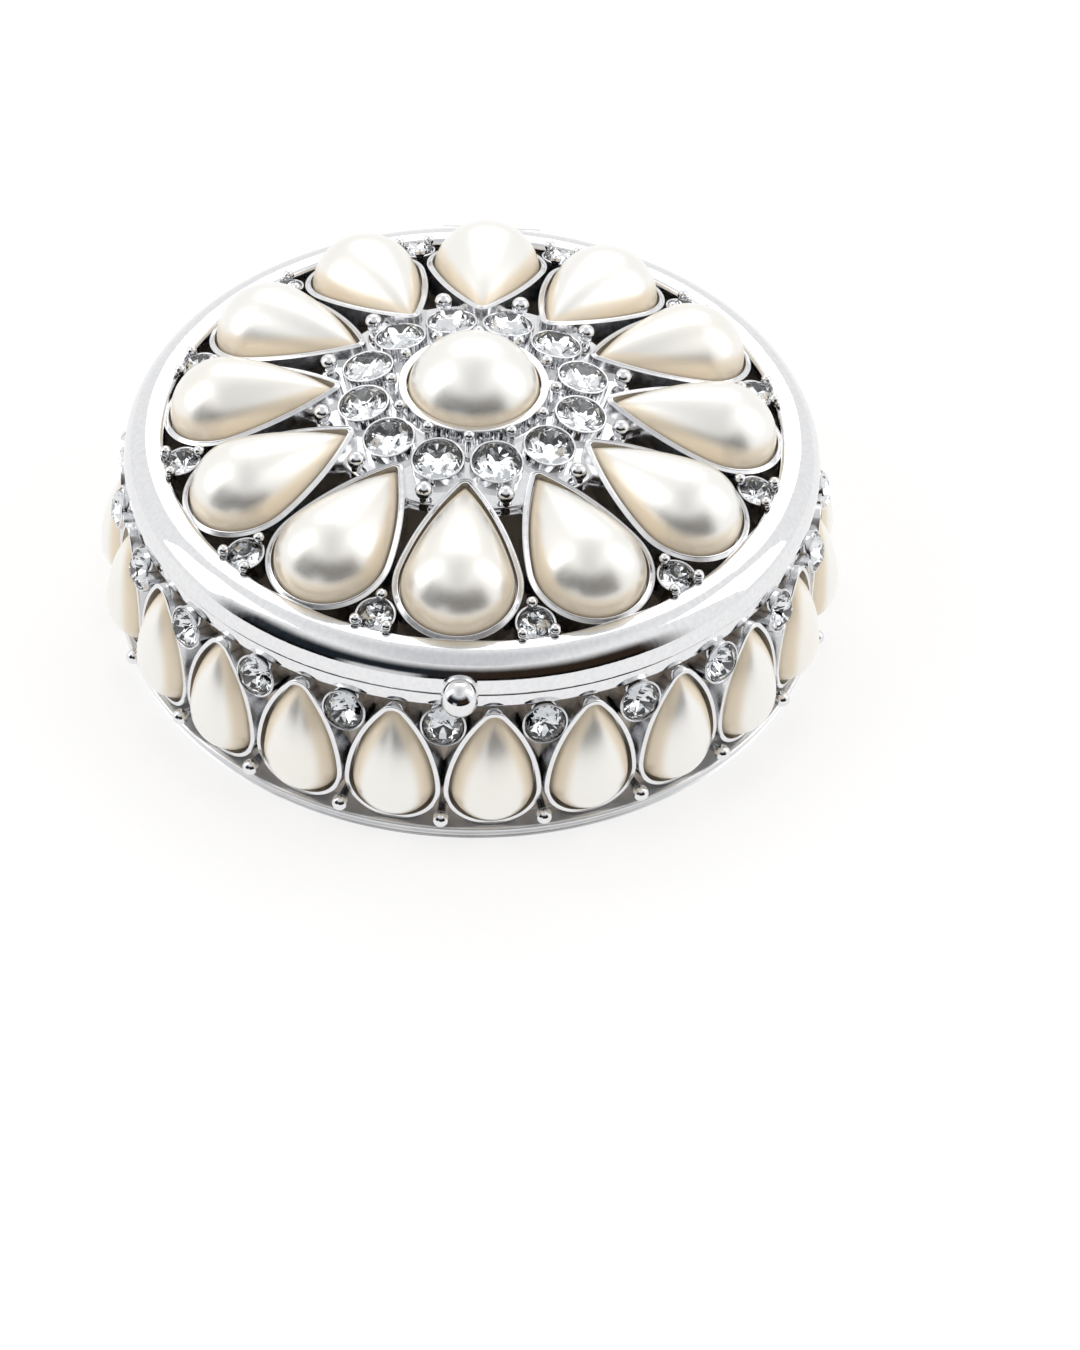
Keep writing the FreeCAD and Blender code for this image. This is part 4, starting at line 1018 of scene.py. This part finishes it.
class TRINKET_OT_magnets(BuildStep, bpy.types.Operator):
    """Closing magnets: the post and disc in the cup, the holder and disc in the lid"""
    bl_idname = "trinket.magnets"
    bl_label = "Magnets"

    def make(self, box, place, paint):
        cup, magnet, petal = box.cup, box.magnet, box.petal
        where = Matrix.Translation((0, place.magnet_y, 0))
        tall = magnet.disc_height
        post = magnet.post / 2
        pocket = magnet.disc / 2 + magnet.play
        floor = place.post_top - magnet.recess - tall
        soft = LIP * 2
        wall = cup.inner_radius - GLUE

        def inside_cup(point):
            """Keeps the post inside the round wall of the cup."""
            reach = math.hypot(point.x, point.y)
            if reach <= wall:
                return point
            return Vector((point.x * wall / reach, point.y * wall / reach, point.z))
        shell = Shell()
        lip = rounded(((post, place.post_top, soft), (pocket, place.post_top, soft),
                       (pocket, floor, 0), (post, floor, 0)))[:-1]
        shell.lathe([(0, cup.floor), (post, cup.floor)] + lip + [(0, floor)], MAGNET_SEGMENTS, where)
        settle(shell.build("magnet_post_shell", [paint("lining")], bend=inside_cup), BASE, METAL,
               "magnet_post")
        base_disc = disc(magnet.disc / 2, floor, floor + tall, where)
        settle(base_disc.build("base_disc", [paint("ferrite")]), BASE, MAGNET, "base_magnet")

        low = place.post_top + magnet.gap
        top = low + tall * 2
        room = magnet.holder_disc / 2 + GLUE
        outside = room + magnet.holder_wall

        def under_petal(point):
            """Lets the top of the holder follow the slope of the petal above it."""
            if point.z < low + tall * 1.5:
                return point
            height = (place.petal_height - (-point.y - place.petal_distance) * math.tan(petal.slope)
                      - petal.depth / math.cos(petal.slope))
            return Vector((point.x, point.y, height))
        shell = Shell()
        lip = rounded(((room, low, LIP), (outside, low, LIP), (outside, top, 0), (room, top, 0)),
                      CUP_LIP_STEPS)[:-1]
        shell.lathe([(0, low + tall), (room, low + tall)] + lip + [(0, top)], MAGNET_SEGMENTS, where)
        settle(shell.build("lid_disc_holder", [paint("plate")], bend=under_petal), LID, METAL,
               "lid_magnet_holder")
        lid_disc = disc(magnet.holder_disc / 2, low, low + tall, where)
        settle(lid_disc.build("lid_disc", [paint("ferrite")]), LID, MAGNET, "lid_magnet")


class TRINKET_OT_rim(BuildStep, bpy.types.Operator):
    """Rounded ring of the lid, its middle knuckle and its lift ball"""
    bl_idname = "trinket.rim"
    bl_label = "Rim"

    def make(self, box, place, paint):
        cup, rim, hinge = box.cup, box.rim, box.hinge
        lesser = min(rim.height, rim.width)
        profile = rounded(((place.rim_inner, place.lid_floor, cup.edge),
                           (place.rim, place.lid_floor, cup.edge),
                           (place.rim, place.rim_top, lesser * rim.round_share),
                           (place.rim_inner, place.rim_top, lesser * rim.inner_share)), RIM_STEPS)
        notch = hinge.knuckle / 2 + hinge.clearance
        half = hinge.width / 2 + hinge.gap

        def clear_of_knuckles(point):
            """Hollows the ring round the cup's knuckles."""
            below = notch ** 2 - (point.z - place.hinge_z) ** 2
            if point.y < 0 or abs(point.x) > half or below <= 0:
                return point
            return Vector((point.x, min(point.y, place.hinge_y - math.sqrt(below)), point.z))
        shell = Shell()
        shell.lathe(profile, LATHE_SEGMENTS, closed=True)
        shell.points = [clear_of_knuckles(point) for point in shell.points]
        end = hinge.middle / 2
        bar(shell, hinge.knuckle / 2, hinge.bore / 2, -end, end, hinge_axis(place))
        block(shell, (-end, place.hinge_y - hinge.leaf_reach, place.lid_floor),
              (end, place.hinge_y, place.lid_floor + 2 * hinge.leaf))
        settle(shell.build("rim", [paint("plate")]), LID, METAL, "lid_rim")

        where = seat(place.rim + rim.ball_reach, place.lid_floor + rim.ball_rise, 0)
        where.translation.x = rim.ball_offset
        ball = grain(Shell(), rim.ball, rim.peg_length, where, rim.peg / rim.ball)
        settle(ball.build("lift_ball", [paint("plate")]), LID, METAL, "lift_knob")


class TRINKET_OT_petals(BuildStep, bpy.types.Operator):
    """Drop pearls of the lid in their bezels"""
    bl_idname = "trinket.petals"
    bl_label = "Petals"

    def make(self, box, place, paint):
        petal = box.petal
        drop = (place.petal_width, place.petal_length, petal.flank_share, petal.tip_round)
        where = seat(place.petal_distance, place.petal_height, math.pi / 2 - petal.slope)
        ring = (petal.count, 0.0)
        settle_ring("petal_settings", drop_bezel(drop, petal, where), ring, paint("tumbled"), LID,
                    METAL, "petal_bezels")
        settle_ring("petal_pearls", drop_pearl(drop, petal, where), ring, paint("pearl"), LID, PEARL,
                    *numbered("petal_pearl", petal.count))


class TRINKET_OT_hub(BuildStep, bpy.types.Operator):
    """Centre pearl in its bezel on the hub plate"""
    bl_idname = "trinket.hub"
    bl_label = "Hub"

    def make(self, box, place, paint):
        hub = box.hub
        top = place.hub_height
        radius = hub.pearl / 2
        room = radius + GLUE
        level = top - hub.step
        floor = top - hub.seat
        soft = LIP * 2
        outline = rounded(((place.hub_edge, level - hub.fall - hub.plate, soft),
                           (place.hub_edge, level - hub.fall, soft), (place.hub_bezel, level, soft),
                           (place.hub_bezel, top, LIP), (room, top, LIP), (room, floor, 0),
                           (0, floor, 0), (0, level - hub.plate, 0)))
        shell = Shell()
        shell.lathe(outline[-1:] + outline[:-1], HUB_SEGMENTS)
        settle(shell.build("hub", [paint("plate")]), LID, METAL, "centre_bezel")

        shell = Shell()
        low = floor + hub.pearl_edge
        turns = [math.pi / 2 * step / DOME_STEPS for step in range(DOME_STEPS)]
        profile = [(0, floor), (radius, floor)]
        profile += [(radius * math.cos(turn), low + hub.dome * math.sin(turn)) for turn in turns]
        profile.append((0, low + hub.dome))
        # Painted shade: each ring's share of the cream edge colour, by its distance in from the pearl's
        # edge.
        for (reach, _), ring in zip(profile, shell.lathe(profile, HUB_SEGMENTS)):
            for index in ring:
                shell.edges[index] = painted_shade_at_edge(radius - reach, hub.band)
        settle(shell.build("centre_half_pearl", [paint("pearl")]), LID, PEARL, "centre_pearl")


class TRINKET_OT_lid_stones(BuildStep, bpy.types.Operator):
    """Stones round the centre pearl, and clawed stones between the petals at the rim"""
    bl_idname = "trinket.lid_stones"
    bl_label = "Lid stones"

    def make(self, box, place, paint):
        hub, petal = box.hub, box.petal
        ring = (petal.count, math.pi / petal.count)
        where = seat(place.inner_distance, place.hub_height - hub.inner_drop,
                     math.pi / 2 - hub.inner_slope)
        settle_ring("inner_stone_cups",
                    stone_cup(hub.inner_stone, hub.inner_wall, hub.inner_depth, where), ring,
                    paint("plate"), LID, METAL, "inner_crystal_cups")
        settle_stones("inner_stones", hub.inner_stone, where, ring, paint, LID, "inner_crystals")

        where = seat(place.outer_distance, place.outer_height, math.pi / 2 - petal.slope)
        cups = stone_cup(hub.outer_stone, hub.outer_wall, hub.outer_depth, where)
        reach = hub.outer_stone / 2 + GLUE + hub.outer_wall
        for turn in CLAW_TURNS:
            foot = Matrix.Rotation(math.radians(turn), 4, "Z") @ Vector((0, reach, hub.claw_rise))
            grain(cups, hub.claw, hub.outer_depth / 2 + hub.claw_rise,
                  where @ Matrix.Translation(foot))
        settle_ring("outer_stone_cups", cups, ring, paint("plate"), LID, METAL, "outer_crystal_cups")
        settle_stones("outer_stones", hub.outer_stone, where, ring, paint, LID, "outer_crystals")


class TRINKET_OT_lid_grains(BuildStep, bpy.types.Operator):
    """Grains between the petal tips and round the centre bezel"""
    bl_idname = "trinket.lid_grains"
    bl_label = "Lid grains"

    def make(self, box, place, paint):
        hub, petal = box.hub, box.petal
        stem = hub.step + hub.fall / 2
        for name, size, distance, drop, start, solid in (
                ("tip_grains", hub.tip_grain, place.tip_grain, hub.tip_drop,
                 math.pi / petal.count, "petal_beads"),
                ("crown_grains", hub.crown_grain, place.crown_grain, hub.crown_drop,
                 0.0, "crown_beads")):
            where = seat(distance, place.hub_height - drop, math.pi / 2)
            settle_ring(name, grain(Shell(), size, stem, where), (petal.count, start),
                        paint("plate"), LID, METAL, solid)


class TRINKET_OT_pin(BuildStep, bpy.types.Operator):
    """Finish of the hinge pin, whose solid stays as it is"""
    bl_idname = "trinket.pin"
    bl_label = "Hinge pin"

    def make(self, box, place, paint):
        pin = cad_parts["hinge_pin"]
        pin.data.materials.clear()
        pin.data.materials.append(paint("satin"))


# Stage

IMAGE_WIDTH = 1080
IMAGE_HEIGHT = 1350
FOCAL_PIXELS = 3923
OPTICAL_X = 465
OPTICAL_Y = 530
SENSOR_WIDTH = 36.0
CLIP_START = 0.01
WHITE = linear("FFFFFF")
LAMP_WIDTH = 0.50
LAMP_AIM = Vector((0, 0, 0.015))
LAMPS = (("left_softbox", (-0.46, -0.10, 0.36), 1.10),
         ("right_softbox", (0.48, -0.02, 0.34), 1.00),
         ("top_softbox", (0.0, 0.40, 0.52), 0.95))
ROOF_HEIGHT = 0.42
ROOM_RADIUS = 0.30
FLAG_RADIUS = 0.28
CARD_FOOT = 0.002


def studio_rays(tree):
    """One where the camera, a mirror or a clear stone looks, zero for soft light."""
    path = node(tree, "ShaderNodeLightPath").outputs
    first = node(tree, "ShaderNodeMath", {0: path["Is Camera Ray"], 1: path["Is Glossy Ray"]},
                 operation="MAXIMUM")
    both = node(tree, "ShaderNodeMath", {0: first.outputs["Value"], 1: path["Is Transmission Ray"]},
                operation="MAXIMUM")
    return both.outputs["Value"]


def choose(tree, part, first, second):
    """Shader between two others."""
    return node(tree, "ShaderNodeMixShader", {0: part, 1: first, 2: second}).outputs["Shader"]


def lit_paper(tree, hex_text, strength):
    """Paper of this tone that also glows by itself."""
    paper = node(tree, "ShaderNodeBsdfDiffuse", {"Color": linear(hex_text)})
    lit = node(tree, "ShaderNodeEmission", {"Color": WHITE, "Strength": strength})
    return node(tree, "ShaderNodeAddShader", {0: paper.outputs["BSDF"],
                                              1: lit.outputs["Emission"]}).outputs["Shader"]


def blend(first, second, part):
    return tuple(one + (two - one) * part for one, two in zip(first, second))


def room_glow(turn, rise):
    """Glow of the dark room before the table, in degrees: black low down, then nearly so, then white."""
    tint = blend(linear("20262C"), linear("332820"), ease(turn, -14, 12))
    shade = blend(linear("0B0A0A"), tint, ease(rise, 4, 12))
    shade = blend(shade, WHITE, ease(rise, 28, 58))
    gap = 0.7 * ease(turn, -34, -28) * (1 - ease(turn, -14, -8)) * (1 - ease(rise, 8, 16))
    side = max(ease(turn, 52, 70), ease(-turn, 62, 76))
    return blend(shade, WHITE, max(gap, side))


def sky_glow(across, along):
    """Glow of the tent roof: a little dimmer along its middle."""
    dim = (1 - ease(abs(across), 0.03, 0.22)) * (1 - ease(along, 0.0, 0.30))
    return blend(WHITE, linear("DADBDD"), dim)


def bent_rows(radius, turns, rises):
    """Points of an upright bent card in front of the box."""
    return [[(radius * math.sin(math.radians(turn)), -radius * math.cos(math.radians(turn)),
              CARD_FOOT + radius * math.tan(math.radians(rise))) for turn in turns] for rise in rises]


def card(name, rows, glows, stones_only=False):
    """Flat or bent card that only reflections, or only the stones, can see."""
    mesh = bpy.data.meshes.new(name)
    count = len(rows[0])
    corners = [row * count + index for row in range(len(rows) - 1) for index in range(count - 1)]
    mesh.from_pydata([point for row in rows for point in row], [],
                     [(corner, corner + 1, corner + count + 1, corner + count) for corner in corners])
    shade = mesh.attributes.new("glow", "FLOAT_COLOR", "POINT")
    for index, glow in enumerate(glows):
        shade.data[index].color = glow
    paint, tree = new_material(name)
    tone = node(tree, "ShaderNodeAttribute", attribute_name="glow")
    shader = node(tree, "ShaderNodeEmission", {"Color": tone.outputs["Color"], "Strength": 1.0})
    finish(tree, shader.outputs["Emission"])
    paint.cycles.emission_sampling = "NONE"
    mesh.materials.append(paint)
    made = add_object(name, mesh)
    made.visible_camera = False
    made.visible_diffuse = False
    made.visible_shadow = False
    made.visible_glossy = not stones_only
    made.visible_transmission = stones_only


def set_camera(scene, size):
    turn, lift, roll = size.azimuth, size.elevation, size.roll
    back = Vector((math.sin(turn) * math.cos(lift), -math.cos(turn) * math.cos(lift), math.sin(lift)))
    right = Vector((math.cos(turn), math.sin(turn), 0))
    upward = back.cross(right)
    across = right * math.cos(roll) + upward * math.sin(roll)
    along = upward * math.cos(roll) - right * math.sin(roll)
    camera = bpy.data.cameras.new("camera")
    camera.sensor_width = SENSOR_WIDTH
    camera.lens = FOCAL_PIXELS * SENSOR_WIDTH / IMAGE_HEIGHT
    camera.shift_x = (IMAGE_WIDTH / 2 - OPTICAL_X) / IMAGE_HEIGHT
    camera.shift_y = (OPTICAL_Y - IMAGE_HEIGHT / 2) / IMAGE_HEIGHT
    camera.clip_start = CLIP_START
    where = back * size.distance + across * size.across + along * size.along + UP * size.target
    eye = add_object("camera", camera)
    eye.matrix_world = Matrix.Translation(where) @ Matrix((across, along, back)).transposed().to_4x4()
    scene.camera = eye


def set_world(scene):
    """White studio, softer for diffuse light than for what the camera and mirrors see."""
    world = bpy.data.worlds.new("studio")
    world.use_nodes = True
    tree = world.node_tree
    tree.nodes.clear()
    seen = node(tree, "ShaderNodeBackground", {"Color": WHITE, "Strength": 1.0})
    soft = node(tree, "ShaderNodeBackground", {"Color": linear("FFFDFA"), "Strength": 0.5})
    node(tree, "ShaderNodeOutputWorld",
         {"Surface": choose(tree, studio_rays(tree), soft.outputs["Background"],
                            seen.outputs["Background"])})
    scene.world = world


def set_floor(width):
    """White paper that lights softly, and looks evenly bright to the camera and in mirrors."""
    paint, tree = new_material("white_paper")
    paper = node(tree, "ShaderNodeBsdfDiffuse", {"Color": linear("F4F4F3")})
    shown = lit_paper(tree, "B4B4B4", strength=0.62)
    mirrored = lit_paper(tree, "808080", strength=0.86)
    path = node(tree, "ShaderNodeLightPath").outputs
    bright = choose(tree, path["Is Camera Ray"], mirrored, shown)
    finish(tree, choose(tree, studio_rays(tree), paper.outputs["BSDF"], bright))
    paint.cycles.emission_sampling = "NONE"
    half = width / 2
    mesh = bpy.data.meshes.new("floor")
    mesh.from_pydata([(-half, -half, 0), (half, -half, 0), (half, half, 0), (-half, half, 0)], [],
                     [(0, 1, 2, 3)])
    mesh.materials.append(paint)
    add_object("floor", mesh)


def set_lamps():
    for name, position, power in LAMPS:
        lamp = bpy.data.lights.new(name, "AREA")
        lamp.shape = "SQUARE"
        lamp.size = LAMP_WIDTH
        lamp.energy = power
        holder = add_object(name, lamp)
        holder.location = position
        aim = LAMP_AIM - Vector(position)
        holder.rotation_euler = aim.to_track_quat("-Z", "Y").to_euler()


def set_cards():
    """Roof and dark room for the reflections, and a black flag for the stones."""
    widths = [-0.24 + 0.02 * step for step in range(25)]
    depths = [-0.45 + 0.05 * step for step in range(16)]
    card("tent_roof", [[(x, y, ROOF_HEIGHT) for x in widths] for y in depths],
         [sky_glow(x, y) for y in depths for x in widths])
    turns, rises = range(-76, 89, 2), range(0, 59, 2)
    card("dark_room", bent_rows(ROOM_RADIUS, turns, rises),
         [room_glow(turn, rise) for rise in rises for turn in turns])
    turns, rises = range(-72, 73, 4), range(0, 66, 5)
    card("stone_flag", bent_rows(FLAG_RADIUS, turns, rises),
         [linear("08080A")] * (len(rises) * len(turns)), stones_only=True)


class TRINKET_OT_stage(bpy.types.Operator):
    """Camera, white floor, soft lamps and dark flags"""
    bl_idname = "trinket.stage"
    bl_label = "Stage"

    def execute(self, context):
        scene = context.scene
        size = scene.trinket_box.stage
        scene.view_settings.view_transform = "Standard"
        set_camera(scene, size)
        set_world(scene)
        set_floor(size.floor)
        set_lamps()
        set_cards()
        return {"FINISHED"}


class TRINKET_PT_panel(bpy.types.Panel):
    """Steps that build the box, in order"""
    bl_idname = "TRINKET_PT_panel"
    bl_label = "Trinket Box"
    bl_space_type = "VIEW_3D"
    bl_region_type = "UI"
    bl_category = "Trinket Box"

    def draw(self, context):
        for operator in OPERATORS:
            self.layout.operator(operator.bl_idname)


OPERATORS = (TRINKET_OT_cup, TRINKET_OT_side_pearls, TRINKET_OT_side_stones, TRINKET_OT_magnets,
             TRINKET_OT_rim, TRINKET_OT_petals, TRINKET_OT_hub, TRINKET_OT_lid_stones,
             TRINKET_OT_lid_grains, TRINKET_OT_pin, TRINKET_OT_stage)
GROUPS = (CupSizes, SideSizes, RimSizes, HingeSizes, PetalSizes, HubSizes, MagnetSizes, Finishes,
          StageSizes, BoxSettings)


def register():
    for item in (*GROUPS, *OPERATORS, TRINKET_PT_panel):
        bpy.utils.register_class(item)
    bpy.types.Scene.trinket_box = PointerProperty(type=BoxSettings)


def unregister():
    del bpy.types.Scene.trinket_box
    for item in (TRINKET_PT_panel, *reversed(OPERATORS), *reversed(GROUPS)):
        bpy.utils.unregister_class(item)


def main():
    register()
    bpy.ops.trinket.cup()
    bpy.ops.trinket.side_pearls()
    bpy.ops.trinket.side_stones()
    bpy.ops.trinket.magnets()
    bpy.ops.trinket.rim()
    bpy.ops.trinket.petals()
    bpy.ops.trinket.hub()
    bpy.ops.trinket.lid_stones()
    bpy.ops.trinket.lid_grains()
    bpy.ops.trinket.pin()
    bpy.ops.trinket.stage()


if __name__ == "__main__":
    main()
